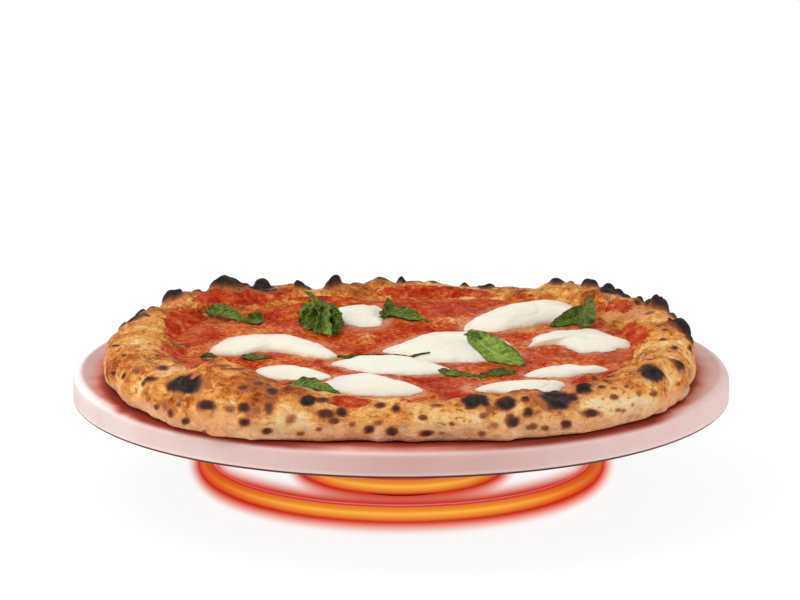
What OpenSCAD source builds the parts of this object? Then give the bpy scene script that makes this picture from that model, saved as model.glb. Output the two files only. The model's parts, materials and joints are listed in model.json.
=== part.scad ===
// Open electric pizza maker: a round baking stone over two ring heating elements.
// A centre column carries the stone support and the element carrier, and a box at
// the back holds the connections. A pizza lies on the stone. Millimetres, +Z up.
// The origin is on the table, under the centre of the stone.

/* [Baking stone] */
// Diameter of the stone
stone_d = 310; // [305:1:320]
// Thickness of the stone
stone_t = 13; // [12:0.5:15]
// Height of the baking surface above the table
stone_top_z = 60.5; // [58:0.5:62]
// Radius of the rounded upper rim
stone_round = 4.5; // [1:0.1:5]
// Chamfer of the lower rim
stone_chamfer = 0.8; // [0.4:0.1:1.5]

/* [Heating elements] */
// Diameter of the outer ring, to the middle of its tube
outer_ring_d = 184; // [178.8:2.6:189.2]
// Diameter of the inner ring, to the middle of its tube
inner_ring_d = 93; // [93:2.6:98.2]
// Outer diameter of the tube
tube_d = 8; // [7:0.1:8]
// Wall of the tube
tube_wall = 0.6; // [0.4:0.1:0.8]
// Height of the rings' middle above the table
ring_z = 14; // [14:0.5:15]
// Radius of the bends into the legs, to the middle of the tube
leg_bend = 12; // [11.5:0.1:12.5]

/* [Column and supports] */
// Outer radius of the centre column
column_r = 14; // [13.5:0.1:14]
// Wall of the column
column_wall = 2; // [1.5:0.1:2]
// Distance of the ceramic pads from the centre
pad_reach = 98; // [90:1:104]
// Width of an arm of the stone support
arm_w = 14; // [12:0.5:16]
// Directions of the element carrier's two side arms, from the right
carrier_angles = [20, 160];
// Directions of the stone support's arms
support_angles = [90, 210, 330];

/* [Base and box] */
// Radius of the round front of the base plate
base_r = 27; // [26.5:0.1:28]
// Half the width of the base plate's rear part
tongue_half_w = 50; // [48:0.5:54]
// Thickness of the base plate
plate_t = 1.5; // [1.2:0.1:2]
// Height of the rubber feet
foot_h = 3.5; // [3:0.1:4]
// Half the width of the terminal box
box_half_w = 44; // [42:0.5:46]
// Front and back of the terminal box
box_y = [108, 148];
// Height of the terminal box
box_h = 29; // [28:0.5:30]
// Sheet thickness of the box and its cover
sheet_t = 1.2; // [1:0.1:1.5]

/* [Pizza] */
// Middle of the pizza, from the stone's centre
pizza_centre = [0, -16];
// Radius of the pizza every 20 degrees, starting at the right
rim_radii = [137, 142, 144, 136, 128, 126, 133, 142, 142, 139, 140, 143, 145, 134, 131, 134, 138, 136];
// Width of the crust in the same directions
crust_widths = [30, 30, 30, 28, 27, 27, 29, 31, 32, 33, 36, 41, 42, 35, 31, 31, 31, 30];
// Height of the crust in the same directions
crust_heights = [18, 19, 20, 19, 19, 19, 20, 21, 19, 19, 19, 21, 21, 17, 15, 16, 17, 18];
// Thickness of the dough at the pizza's middle
dough_t = 6.9; // [6.5:0.1:8]
// Rise of the dough from the front to the back, in degrees
dough_slope = 2.6; // [0:0.1:2.8]
// Thickness of the sauce
sauce_t = 1.6; // [1:0.1:2]

/* [Hidden] */

$fn = 64;
steel = [0.72, 0.72, 0.70];
dark_steel = [0.42, 0.42, 0.42];
zinc = [0.62, 0.62, 0.60];
ceramic = [0.90, 0.87, 0.80];
brass = [0.78, 0.62, 0.30];
glow = [0.95, 0.50, 0.12];
rubber = [0.12, 0.12, 0.12];
enamel = [0.90, 0.89, 0.87];
silicone = [0.84, 0.83, 0.80];

// Small gaps that let parts go together
slip = 0.05;
cut = 0.5;

// Heights that follow from the driving dimensions
plate_top = foot_h + plate_t;
stone_bottom = stone_top_z - stone_t;
pocket_depth = 2;
pocket_r = 6;
pad_r = 5.5;
pad_top = stone_bottom + pocket_depth;
support_t = 3;
support_z = stone_bottom - 3 - support_t;
carrier_t = 2;
carrier_z = ring_z + tube_d / 2 + 0.2;

// Column
flange_r = 24;
flange_t = 2.5;
shoulder_r = 21;
shoulder_t = 3;
head_flange_r = 21;
head_flange_t = 2.5;
column_top = support_z;
bore_r = column_r - column_wall;
small_screw_r = 1.5;
small_screw_gap = 0.1;
screw_head_r = 2.8;
screw_head_h = 1.8;

// Sensor in the column
capsule_r = 11;
capsule_t = 4;
sensor_gap = 0.3;
capsule_z = stone_bottom - sensor_gap - capsule_t;
stem_r = 4;
guide_z = 24;
guide_t = 3;
stem_low = 20;
stem_bore = 2.8;
groove_r = 3.5;
circlip_t = 1;
circlip_z = guide_z - circlip_t - 0.1;
spring_wire_r = 0.55;
spring_r = 7;
spring_turns = 5;

// Element legs and box
outer_r = outer_ring_d / 2;
inner_r = inner_ring_d / 2;
tube_r = tube_d / 2;
tube_bore = tube_r - tube_wall;
coil_hole = 1.6;
leg_end = 112;
filling_end = leg_end - 1;
outer_cold = 103;
inner_cold = 82;
pin_r = 1.25;
pin_end = 128.5;
// The bends' centres lie in the direction 5 : 12, so that ring, bend and leg meet exactly
outer_leg_x = (outer_r + leg_bend) * 5 / 13 - leg_bend;
inner_leg_x = (inner_r + leg_bend) * 5 / 13 - leg_bend;
leg_xs = [-outer_leg_x, -inner_leg_x, inner_leg_x, outer_leg_x];
pair_x = (outer_leg_x + inner_leg_x) / 2;
box_top = plate_top + box_h;
gland_x = 26;
gland_z = 21;
gland_bore = 3.6;
gland_thread = 6;
lead_r = 1.1;
block_front = 119;
lead_z = plate_top + 3.2;
lead_xs = [-5.1, -2.3, 0.7, 3.5];
slot_half_w = 7.5;
lead_end = block_front + 4;
block_y = [block_front, 134];
block_z = [plate_top + sheet_t, 21];
block_half = 37;
side_screw_y = [118, 138];
side_screw_z = box_top - 5;

// Holes for the screws that fasten the base plate to a housing
chassis_pcd = 68;
chassis_y = 52;
chassis_hole_r = 2.25;
chassis_angles = [60, 180, 300];
column_angles = [30, 150, 270];
hub_angles = [30, 150, 270];
clip_screw_reach = [inner_r - 9.5, inner_r + 9.5, outer_r - 9.5, outer_r + 9.5];
foot_r = 5.2;
foot_places = [[-27, 4], [27, 4], [-42, 26], [42, 26], [-40, 137], [40, 137]];
cutout_place = [-20, 28];
cutout_hole_x = 11.4;

// Pizza
pizza_z = stone_top_z + 0.25;
crust_steps = 96;
lip = 1;
slope_rise = tan(dough_slope);

// A value between the ones given at even steps round a full turn
function round_value(list, a) = let (
    n = len(list), s = a * n / 360, i = floor(s), t = s - i,
    p = list[(i + n - 1) % n], q = list[i % n], r = list[(i + 1) % n], u = list[(i + 2) % n]
) q + 0.5 * t * (r - p + t * (2 * p - 5 * q + 4 * r - u + t * (3 * (q - r) + u - p)));

// An open ring whose two ends bend back into parallel legs, made with any tube section
module ring_with_legs(ring_r, end_y, r_out, r_in) {
    bend_x = (ring_r + leg_bend) * 5 / 13;
    start_y = (ring_r + leg_bend) * 12 / 13;
    difference() {
        rotate_extrude($fn = 180) translate([ring_r, 0]) tube_section(r_out, r_in);
        translate([0, 0, -10]) linear_extrude(20) polygon([[0, 0], [60, 144], [-60, 144]]);
    }
    for (side = [0, 1]) mirror([side, 0, 0]) {
        translate([bend_x, start_y, 0]) intersection() {
            rotate_extrude($fn = 90) translate([leg_bend, 0]) tube_section(r_out, r_in);
            translate([0, 0, -10]) linear_extrude(20) polygon([[0, 0], [-25, 0], [-25, -60]]);
        }
        translate([bend_x - leg_bend, start_y, 0]) rotate([-90, 0, 0])
            pipe(r_out, r_in, end_y - start_y);
    }
}

module tube_section(r_out, r_in) {
    difference() {
        circle(r_out);
        if (r_in > 0) circle(r_in);
    }
}

// A pipe that stands on z = 0
module pipe(r_out, r_in, h) {
    difference() {
        cylinder(r = r_out, h = h);
        translate([0, 0, -cut]) cylinder(r = r_in, h = h + 2 * cut);
    }
}

// Repeats its children at a distance from the centre in each direction
module spread(reach, angles) {
    for (a = angles) rotate([0, 0, a]) translate([reach, 0, 0]) children();
}

// A pan-head screw whose head rests at z = 0, its shank pointing down
module screw(r, length) {
    difference() {
        union() {
            cylinder(r = screw_head_r, h = screw_head_h);
            translate([0, 0, -length]) cylinder(r = r, h = length + cut);
        }
        for (a = [0, 90]) rotate([0, 0, a])
            translate([-screw_head_r * 0.6, -0.35, screw_head_h - 0.8])
                cube([screw_head_r * 1.2, 0.7, 1]);
    }
}

// A hexagon nut that stands on z = 0
module hex_nut(across_r, bore, h) {
    difference() {
        cylinder(r = across_r, h = h, $fn = 6);
        translate([0, 0, -cut]) cylinder(r = bore, h = h + 2 * cut, $fn = 32);
    }
}

// Base

module base_plate() {
    color(enamel) difference() {
        union() {
            translate([0, 0, foot_h]) cylinder(r = base_r, h = plate_t, $fn = 120);
            translate([-34, -3, foot_h]) cube([68, 20, plate_t]);
            translate([-tongue_half_w, 14, foot_h]) cube([2 * tongue_half_w, box_y[1] - 12, plate_t]);
            // Turned-up edges stiffen the rear part
            for (side = [-1, 1]) translate([side * (tongue_half_w - 0.75) - 0.75, 14, plate_top])
                cube([1.5, box_y[1] - 12, 3]);
        }
        translate([0, chassis_y, 0]) spread(chassis_pcd / 2, chassis_angles)
            translate([0, 0, foot_h - 2]) cylinder(r = chassis_hole_r, h = plate_t + 4);
        for (p = foot_places)
            translate([p[0], p[1], foot_h - 2]) cylinder(r = 1.6, h = plate_t + 4);
        spread(19.5, column_angles)
            translate([0, 0, foot_h - 2]) cylinder(r = 1.6, h = plate_t + 4);
        for (side = [-1, 1])
            translate([cutout_place[0] + side * cutout_hole_x, cutout_place[1], foot_h - 2])
                cylinder(r = 1.6, h = plate_t + 4);
        translate([0, 0, foot_h - 2]) cylinder(r = 6, h = plate_t + 4);
    }
}

module rubber_feet() {
    color(silicone) for (p = foot_places) translate([p[0], p[1], 0]) difference() {
        union() {
            cylinder(r1 = foot_r, r2 = foot_r + 0.8, h = 1);
            translate([0, 0, 1]) cylinder(r = foot_r + 0.8, h = foot_h - 1);
        }
        translate([0, 0, 1.2]) cylinder(r = 1.6, h = foot_h);
    }
}

module foot_screws() {
    color(steel) for (p = foot_places)
        translate([p[0], p[1], plate_top]) screw(small_screw_r, 3.4);
}

// Column and what it carries

module support_column() {
    color(steel) difference() {
        union() {
            translate([0, 0, plate_top]) cylinder(r = column_r, h = column_top - plate_top);
            translate([0, 0, plate_top]) cylinder(r = flange_r, h = flange_t);
            translate([0, 0, carrier_z - shoulder_t]) cylinder(r = shoulder_r, h = shoulder_t);
            translate([0, 0, column_top - head_flange_t])
                cylinder(r = head_flange_r, h = head_flange_t);
        }
        translate([0, 0, plate_top - cut]) cylinder(r = bore_r, h = column_top);
        spread(19.5, column_angles)
            translate([0, 0, plate_top - cut]) cylinder(r = 1.6, h = flange_t + 2 * cut);
        spread(17.5, hub_angles)
            translate([0, 0, carrier_z - shoulder_t - cut]) cylinder(r = 1.6, h = shoulder_t + 2 * cut);
        spread(17.5, [30, 150, 270])
            translate([0, 0, column_top - head_flange_t - cut])
                cylinder(r = 1.6, h = head_flange_t + 2 * cut);
        // Slot for the sensor's leads
        translate([-5, 0, plate_top + 1]) cube([10, flange_r + 2, 4]);
    }
}

module column_screws() {
    color(steel) spread(19.5, column_angles)
        translate([0, 0, plate_top + flange_t]) screw(small_screw_r, flange_t + plate_t - 0.2);
}

module stone_support() {
    color(dark_steel) translate([0, 0, support_z]) difference() {
        union() {
            cylinder(r = head_flange_r + 1, h = support_t);
            for (a = support_angles) rotate([0, 0, a]) {
                translate([0, -arm_w / 2, 0]) cube([pad_reach, arm_w, support_t]);
                translate([pad_reach, 0, 0]) cylinder(r = arm_w / 2, h = support_t);
                // A pressed rib under each arm
                translate([head_flange_r + 3, -1.5, -2]) cube([pad_reach - 34, 3, 2]);
            }
        }
        translate([0, 0, -cut]) cylinder(r = bore_r, h = support_t + 2 * cut);
        spread(pad_reach, support_angles)
            translate([0, 0, -cut]) cylinder(r = 2.6, h = support_t + 2 * cut);
        spread(17.5, [30, 150, 270])
            translate([0, 0, -cut]) cylinder(r = 1.6, h = support_t + 2 * cut);
    }
}

module support_screws() {
    head_z = support_z + support_t;
    color(steel) spread(17.5, [30, 150, 270])
        translate([0, 0, head_z]) screw(small_screw_r, support_t + head_flange_t + 1);
}

module stone_pads() {
    color(ceramic) spread(pad_reach, support_angles) {
        translate([0, 0, support_z + support_t]) cylinder(r = pad_r, h = pad_top - support_z - support_t);
        translate([0, 0, support_z - 1.5]) cylinder(r = 2.5, h = support_t + 1.5);
        translate([0, 0, support_z - 2.5]) cylinder(r1 = 2.2, r2 = 3.2, h = 2.5);
    }
}

module element_carrier() {
    color(steel) translate([0, 0, carrier_z]) linear_extrude(carrier_t) difference() {
        union() {
            circle(shoulder_r);
            for (a = carrier_angles) rotate(a) translate([0, -6]) square([outer_r + 14, 12]);
            translate([-6, 0]) square([12, box_y[0] - 0.4]);
        }
        circle(column_r + slip);
        for (a = hub_angles) rotate(a) translate([17.5, 0]) circle(1.6);
        for (reach = clip_screw_reach, a = carrier_angles) rotate(a) translate([reach, 0]) circle(1.6);
    }
}

module carrier_screws() {
    color(steel) spread(17.5, hub_angles)
        translate([0, 0, carrier_z + carrier_t]) screw(small_screw_r, carrier_t + shoulder_t + 0.5);
}

// A saddle strap under the tube, with two feet under the carrier's arm
module clip(w) {
    gap = tube_r + 0.1;
    thick = 1;
    foot_z = carrier_z - ring_z;
    rotate([-90, 0, 0]) rotate_extrude(angle = 180) translate([gap, -w / 2]) square([thick, w]);
    for (side = [0, 1]) mirror([side, 0, 0]) {
        translate([gap, -w / 2, 0]) cube([thick, w, foot_z]);
        difference() {
            translate([gap, -w / 2, foot_z - thick]) cube([13.5 - gap, w, thick]);
            translate([9.5, 0, 0]) cylinder(r = 1.6, h = foot_z + cut);
        }
    }
}

module outer_clips() {
    color(steel) translate([0, 0, ring_z]) spread(outer_r, carrier_angles) clip(8);
}

module inner_clips() {
    color(steel) translate([0, 0, ring_z]) spread(inner_r, carrier_angles) clip(8);
}

module clip_screws() {
    color(steel) for (reach = clip_screw_reach) spread(reach, carrier_angles)
        translate([0, 0, carrier_z + carrier_t]) screw(small_screw_r, carrier_t + 4);
}

module clip_nuts() {
    color(steel) for (reach = clip_screw_reach) spread(reach, carrier_angles)
        translate([0, 0, carrier_z - 1 - 2.3]) hex_nut(3.1, small_screw_r + slip, 2.3);
}

// Heating elements

module outer_element() {
    color(glow) translate([0, 0, ring_z])
        ring_with_legs(outer_r, leg_end, tube_r, tube_bore);
}

module inner_element() {
    color(glow) translate([0, 0, ring_z])
        ring_with_legs(inner_r, leg_end, tube_r, tube_bore);
}

module outer_filling() {
    color("white") translate([0, 0, ring_z])
        ring_with_legs(outer_r, filling_end, tube_bore, coil_hole);
}

module inner_filling() {
    color("white") translate([0, 0, ring_z])
        ring_with_legs(inner_r, filling_end, tube_bore, coil_hole);
}

module outer_coil() {
    color(dark_steel) translate([0, 0, ring_z])
        ring_with_legs(outer_r, outer_cold, 1.5, 1.1);
}

module inner_coil() {
    color(dark_steel) translate([0, 0, ring_z])
        ring_with_legs(inner_r, inner_cold, 1.5, 1.1);
}

module element_bushings() {
    color(ceramic) for (x = leg_xs) translate([x, filling_end, ring_z]) rotate([-90, 0, 0]) {
        pipe(tube_bore - slip, pin_r + slip, 1.2);
        translate([0, 0, 1]) pipe(tube_r, pin_r + slip, 4);
    }
}

module element_pins() {
    color(steel) for (x = leg_xs) {
        start_y = abs(x) == outer_leg_x ? outer_cold : inner_cold;
        translate([x, start_y + 0.5, ring_z]) rotate([-90, 0, 0])
            cylinder(r = pin_r, h = pin_end - start_y - 0.5);
    }
}

module element_ferrules() {
    color(brass) for (x = leg_xs) {
        translate([x, box_y[0] - 3.2, ring_z]) rotate([-90, 0, 0]) pipe(5.8, tube_r + slip, 3.2);
        translate([x, box_y[0] + sheet_t, ring_z]) rotate([-90, 0, 0]) pipe(5.8, tube_r + slip, 2.4);
    }
}

// Connections

module terminal_box() {
    depth = box_y[1] - box_y[0];
    color(steel) difference() {
        translate([-box_half_w, box_y[0], plate_top]) cube([2 * box_half_w, depth, box_h]);
        translate([-box_half_w + sheet_t, box_y[0] + sheet_t, plate_top + sheet_t])
            cube([2 * (box_half_w - sheet_t), depth - 2 * sheet_t, box_h]);
        for (x = leg_xs) translate([x, box_y[0] - cut, ring_z]) rotate([-90, 0, 0])
            cylinder(r = tube_r + 0.2, h = sheet_t + 2 * cut);
        translate([-slot_half_w, box_y[0] - cut, plate_top + sheet_t])
            cube([2 * slot_half_w, sheet_t + 2 * cut, 3.6]);
        translate([gland_x, box_y[1] - sheet_t - cut, gland_z]) rotate([-90, 0, 0])
            cylinder(r = gland_thread + 0.1, h = sheet_t + 2 * cut);
        for (p = [foot_places[4], foot_places[5]])
            translate([p[0], p[1], plate_top - cut]) cylinder(r = 3.2, h = 3);
        for (y = side_screw_y) translate([-box_half_w - cut, y, side_screw_z]) rotate([0, 90, 0])
            cylinder(r = 1.6, h = 2 * box_half_w + 2 * cut);
    }
}

module terminal_cover() {
    flange = 9;
    reach = box_half_w + sheet_t;
    color(steel) difference() {
        translate([-reach, box_y[0], box_top - flange])
            cube([2 * reach, box_y[1] - box_y[0], flange + sheet_t]);
        translate([-box_half_w - slip, box_y[0] - cut, box_top - flange - cut])
            cube([2 * (box_half_w + slip), box_y[1] - box_y[0] + 2 * cut, flange + cut]);
        for (y = side_screw_y) translate([-reach - cut, y, side_screw_z]) rotate([0, 90, 0])
            cylinder(r = 1.6, h = 2 * (reach + cut));
        // Vent slots
        for (i = [-3 : 3]) translate([i * 10 - 2, box_y[0] + 10, box_top - cut])
            cube([4, 20, sheet_t + 2 * cut]);
    }
}

module cover_screws() {
    color(steel) for (side = [-1, 1], y = side_screw_y)
        translate([side * (box_half_w + sheet_t), y, side_screw_z])
            rotate([0, side * 90, 0]) screw(small_screw_r, 2 * sheet_t + 2);
}

module terminal_block() {
    color(ceramic) difference() {
        translate([-block_half, block_y[0], block_z[0]])
            cube([2 * block_half, block_y[1] - block_y[0], block_z[1] - block_z[0]]);
        for (x = leg_xs) {
            translate([x, block_y[0] - cut, ring_z]) rotate([-90, 0, 0])
                cylinder(r = pin_r + 0.1, h = 12);
            translate([x, (block_y[0] + block_y[1]) / 2 - 1, ring_z + 0.5]) cylinder(r = 2.1, h = 10);
        }
        for (x = lead_xs) translate([x, block_front - cut, lead_z]) rotate([-90, 0, 0])
            cylinder(r = lead_r + 0.1, h = 5);
        // Slots between the poles
        for (x = [-pair_x, 0, pair_x]) translate([x - 1.5, block_y[0] - cut, block_z[1] - 4])
            cube([3, block_y[1] - block_y[0] + 2 * cut, 5]);
    }
}

module terminal_screws() {
    y = (block_y[0] + block_y[1]) / 2 - 1;
    color(brass) for (x = leg_xs) translate([x, y, 0]) {
        translate([0, 0, ring_z + pin_r + 0.05]) cylinder(r = 2, h = block_z[1] + 1 - ring_z - pin_r - 0.05);
        translate([0, 0, block_z[1] + 1]) difference() {
            cylinder(r = 3.2, h = 2);
            translate([-4, -0.4, 1.2]) cube([8, 0.8, 1]);
        }
    }
}

module jumper_links() {
    y = (block_y[0] + block_y[1]) / 2 - 1;
    color(brass) for (side = [-1, 1]) difference() {
        translate([side * pair_x - 13, y - 3.5, block_z[1]]) cube([26, 7, 1]);
        for (x = leg_xs) translate([x, y, block_z[1] - cut]) cylinder(r = 2.1, h = 2);
    }
}

module earth_screw() {
    color(brass) translate([-20, 140, plate_top + sheet_t]) {
        cylinder(r = 2, h = 9);
        cylinder(r = 4, h = 2.4, $fn = 6);
        translate([0, 0, 4]) cylinder(r = 4.2, h = 1);
    }
}

module cord_gland() {
    color(rubber) translate([gland_x, box_y[1], gland_z]) rotate([-90, 0, 0]) difference() {
        union() {
            translate([0, 0, -10]) cylinder(r = gland_thread, h = 10);
            cylinder(r = 9, h = 3, $fn = 6);
            translate([0, 0, 3]) cylinder(r1 = 7.8, r2 = 6.2, h = 3.6);
        }
        translate([0, 0, -10 - cut]) cylinder(r = gland_bore, h = 20);
    }
}

module gland_nut() {
    color(zinc) translate([gland_x, box_y[1] - sheet_t - 3, gland_z]) rotate([-90, 0, 0])
        hex_nut(8.6, gland_thread + slip, 3);
}

// Temperature control

module thermal_cutout() {
    color(ceramic) translate([cutout_place[0], cutout_place[1], plate_top + 1]) {
        cylinder(r = 7.6, h = 6);
        color(steel) for (side = [-1, 1])
            translate([side * 4 - 2, -0.4, 6]) cube([4, 0.8, 3]);
    }
}

module cutout_bracket() {
    color(steel) translate([cutout_place[0], cutout_place[1], plate_top]) difference() {
        union() {
            cylinder(r = 9, h = 1);
            translate([-15, -4, 0]) cube([30, 8, 1]);
        }
        for (side = [-1, 1]) translate([side * cutout_hole_x, 0, -cut]) cylinder(r = 1.6, h = 3);
    }
}

module cutout_screws() {
    color(steel) for (side = [-1, 1])
        translate([cutout_place[0] + side * cutout_hole_x, cutout_place[1], plate_top + 1])
            screw(small_screw_r, plate_t + 0.8);
}

// Points along a lead, and the tube that a lead is

function normal_to(d) = norm(cross(d, [0, 0, 1])) < 0.001 ? [1, 0, 0]
    : cross(d, [0, 0, 1]) / norm(cross(d, [0, 0, 1]));
function heading(points, i) = let (
    a = points[max(i - 1, 0)],
    b = points[min(i + 1, len(points) - 1)]
) (b - a) / norm(b - a);

module lead(points, r, sides = 8) {
    rings = [for (i = [0 : len(points) - 1]) let (
        d = heading(points, i), u = normal_to(d), v = cross(u, d)
    ) [for (k = [0 : sides - 1]) points[i] + r * (u * cos(k * 360 / sides) + v * sin(k * 360 / sides))]];
    last = len(points) - 1;
    polyhedron(
        points = [for (ring = rings) for (p = ring) p],
        faces = concat(
            [[for (k = [0 : sides - 1]) k]],
            [for (i = [0 : last - 1], k = [0 : sides - 1]) let (n = (k + 1) % sides)
                [i * sides + n, i * sides + k, (i + 1) * sides + k]],
            [for (i = [0 : last - 1], k = [0 : sides - 1]) let (n = (k + 1) % sides)
                [i * sides + n, (i + 1) * sides + k, (i + 1) * sides + n]],
            [[for (k = [sides - 1 : -1 : 0]) last * sides + k]]
        )
    );
}

// The cut-out's leads leave its tags, pass its edge and bend down to run along the sensor's leads
function cutout_route(side) = let (
    x = cutout_place[0] + 4 * side,
    y = cutout_place[1],
    w = (side < 0 ? lead_xs[0] : lead_xs[1]) - x
) [
    [x, y + 0.7, plate_top + 8.7], [x + 0.04 * w, y + 3.4, plate_top + 9.4],
    [x + 0.2 * w, y + 6.6, plate_top + 9.3], [x + 0.36 * w, y + 9.3, plate_top + 7.4],
    [x + 0.46 * w, y + 10.9, plate_top + 4.9], [x + 0.58 * w, y + 13, lead_z],
    [x + 0.78 * w, y + 17, lead_z], [x + 0.94 * w, y + 22, lead_z],
    [x + w, y + 28, lead_z], [x + w, lead_end, lead_z]
];

module cutout_leads() {
    color("ivory") for (side = [-1, 1]) lead(cutout_route(side), lead_r);
}

// The sensor's leads hang in its hollow stem and turn towards the box
function sensor_route(side) = let (x = 1.4 * side, e = side < 0 ? lead_xs[2] : lead_xs[3]) [
    [x, 0, 34], [x, 0, 15], [x, 0.5, 12.2], [x + 0.2, 2, 9.9], [x + 0.5, 4.4, 8.5],
    [x + 1, 8, lead_z], [x + 1.7, 14, lead_z], [e, 20, lead_z], [e, lead_end, lead_z]
];

module sensor_leads() {
    color("ivory") for (side = [-1, 1]) lead(sensor_route(side), lead_r);
}

module lead_clips() {
    w = 6;
    h = lead_z - plate_top + lead_r + 0.3;
    color(zinc) for (y = [80, 98]) translate([0, y - w / 2, plate_top]) {
        difference() {
            translate([-7.4, 0, 0]) cube([13.2, w, h + 0.8]);
            translate([-6.6, -cut, -cut]) cube([11.6, w + 2 * cut, h + cut]);
        }
        translate([5.8, 0, 0]) cube([5, w, 0.8]);
    }
}

module sensor_guide() {
    color(brass) translate([0, 0, guide_z]) difference() {
        cylinder(r = bore_r - slip / 2, h = guide_t);
        translate([0, 0, -cut]) cylinder(r = stem_r + slip, h = guide_t + 2 * cut);
    }
}

// The least distance between the wire's points that lie more than half a turn apart
function least_gap(points, per_turn, r) = min([for (i = [0 : len(points) - 1 - per_turn / 2])
    for (j = [i + per_turn / 2 : len(points) - 1]) norm(points[i] - points[j]) - 2 * r]);

// The spring's wire, wound as one tube between two levels
module sensor_spring() {
    per_turn = 8;
    low = guide_z + guide_t + spring_wire_r + 0.1;
    high = capsule_z - spring_wire_r - 0.1;
    count = spring_turns * per_turn;
    points = [for (i = [0 : count])
        [spring_r * cos(i * 360 / per_turn), spring_r * sin(i * 360 / per_turn), low + (high - low) * i / count]];
    echo(least_gap_of_spring = least_gap(points, per_turn, spring_wire_r));
    color(steel) lead(points, spring_wire_r, 6);
}

module sensor_capsule() {
    color("gainsboro") translate([0, 0, capsule_z]) difference() {
        union() {
            cylinder(r = capsule_r, h = capsule_t - 1);
            translate([0, 0, capsule_t - 1]) cylinder(r1 = capsule_r, r2 = capsule_r - 1, h = 1);
        }
        translate([0, 0, -cut]) cylinder(r = 2.5, h = 2.5 + cut);
    }
}

module sensor_stem() {
    color(steel) difference() {
        union() {
            translate([0, 0, stem_low]) cylinder(r = stem_r, h = capsule_z - stem_low);
            translate([0, 0, capsule_z]) cylinder(r = 2.48, h = 2.4);
        }
        translate([0, 0, stem_low - cut]) cylinder(r = stem_bore, h = capsule_z - stem_low - 1);
        translate([0, 0, circlip_z - 0.1]) difference() {
            cylinder(r = stem_r + 1, h = circlip_t + 0.2);
            translate([0, 0, -cut]) cylinder(r = groove_r, h = circlip_t + 2 * cut);
        }
    }
}

module sensor_circlip() {
    color(dark_steel) translate([0, 0, circlip_z]) difference() {
        cylinder(r = 6, h = circlip_t);
        translate([0, 0, -cut]) cylinder(r = groove_r + 0.02, h = circlip_t + 2 * cut);
        translate([-1.5, 0, -cut]) cube([3, 8, circlip_t + 2 * cut]);
    }
}

// Baking stone

module baking_stone() {
    r = stone_d / 2;
    color([0.85, 0.72, 0.68]) translate([0, 0, stone_bottom]) difference() {
        rotate_extrude($fn = 180) difference() {
            polygon([[0, 0], [r - stone_chamfer, 0], [r, stone_chamfer], [r, stone_t], [0, stone_t]]);
            difference() {
                translate([r - stone_round, stone_t - stone_round]) square(stone_round + cut);
                translate([r - stone_round, stone_t - stone_round]) circle(stone_round, $fn = 48);
            }
        }
        spread(pad_reach, support_angles) translate([0, 0, -cut])
            cylinder(r = pocket_r, h = pocket_depth + cut);
    }
}

// Pizza. Its outline, crust width and crust height vary smoothly round it.

function round_the_pizza(r, a, z) = [pizza_centre[0] + r * cos(a), pizza_centre[1] + r * sin(a), z];
function inner_r_at(a) = round_value(rim_radii, a) - round_value(crust_widths, a);

// The crust's section: [share of the width from the outside, share of the height]
crust_section = [
    [0.10, 0], [0.02, 0.16], [0, 0.42], [0.09, 0.78], [0.28, 0.97],
    [0.50, 1], [0.72, 0.90], [0.90, 0.70], [1, 0], [1, 0]
];

function crust_point(a, k) = let (
    p = crust_section[k],
    r = round_value(rim_radii, a) - p[0] * round_value(crust_widths, a),
    // The inner edge stands a little above the dough beside it
    z = k == 8 ? dough_t + slope_rise * r * sin(a) + lip : p[1] * round_value(crust_heights, a)
) round_the_pizza(r, a, pizza_z + z);

module pizza_crust() {
    n = len(crust_section);
    step = 360 / crust_steps;
    color([0.83, 0.58, 0.32]) polyhedron(
        points = [for (i = [0 : crust_steps - 1], k = [0 : n - 1]) crust_point(i * step, k)],
        faces = [for (i = [0 : crust_steps - 1], k = [0 : n - 1], half = [0, 1]) let (
            a = i * n + k, b = i * n + (k + 1) % n,
            c = ((i + 1) % crust_steps) * n + k, d = ((i + 1) % crust_steps) * n + (k + 1) % n
        ) half == 0 ? [a, b, c] : [b, d, c]]
    );
}

module inside_crust(gap, step) {
    polygon([for (a = [0 : step : 360 - step]) let (r = inner_r_at(a) - gap) [r * cos(a), r * sin(a)]]);
}

// Places its children on the sloping top of the dough, at a height above it
module on_dough(h) {
    translate([pizza_centre[0], pizza_centre[1], pizza_z + dough_t]) rotate([dough_slope, 0, 0])
        translate([0, 0, h]) children();
}

module pizza_base() {
    color([0.90, 0.76, 0.55]) difference() {
        translate([pizza_centre[0], pizza_centre[1], pizza_z])
            linear_extrude(20) inside_crust(0.25, 360 / crust_steps);
        on_dough(0) translate([-200, -200, 0]) cube([400, 400, 40]);
    }
}

module tomato_sauce() {
    color([0.75, 0.16, 0.06]) on_dough(0.1)
        linear_extrude(sauce_t) inside_crust(2, 360 / crust_steps);
}

// Pieces of cheese: [middle x, middle y, half length, half width, direction, height]
cheese_pieces = [
    [-60, 18, 29, 17, 0, 6.0], [-49, -29, 18, 12, -15, 5.0], [-21, 67, 13, 20, 0, 5.0],
    [-14, -48, 22, 14, 0, 5.5], [-8, -17, 24, 12, -10, 5.5], [56, 65, 25, 19, 15, 6.5],
    [84, 25, 20, 18, -10, 6.0], [24, 18, 26, 19, -5, 6.5], [77, -24, 17, 9, 0, 4.5],
    [53, -49, 19, 12, 0, 5.0]
];

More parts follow.
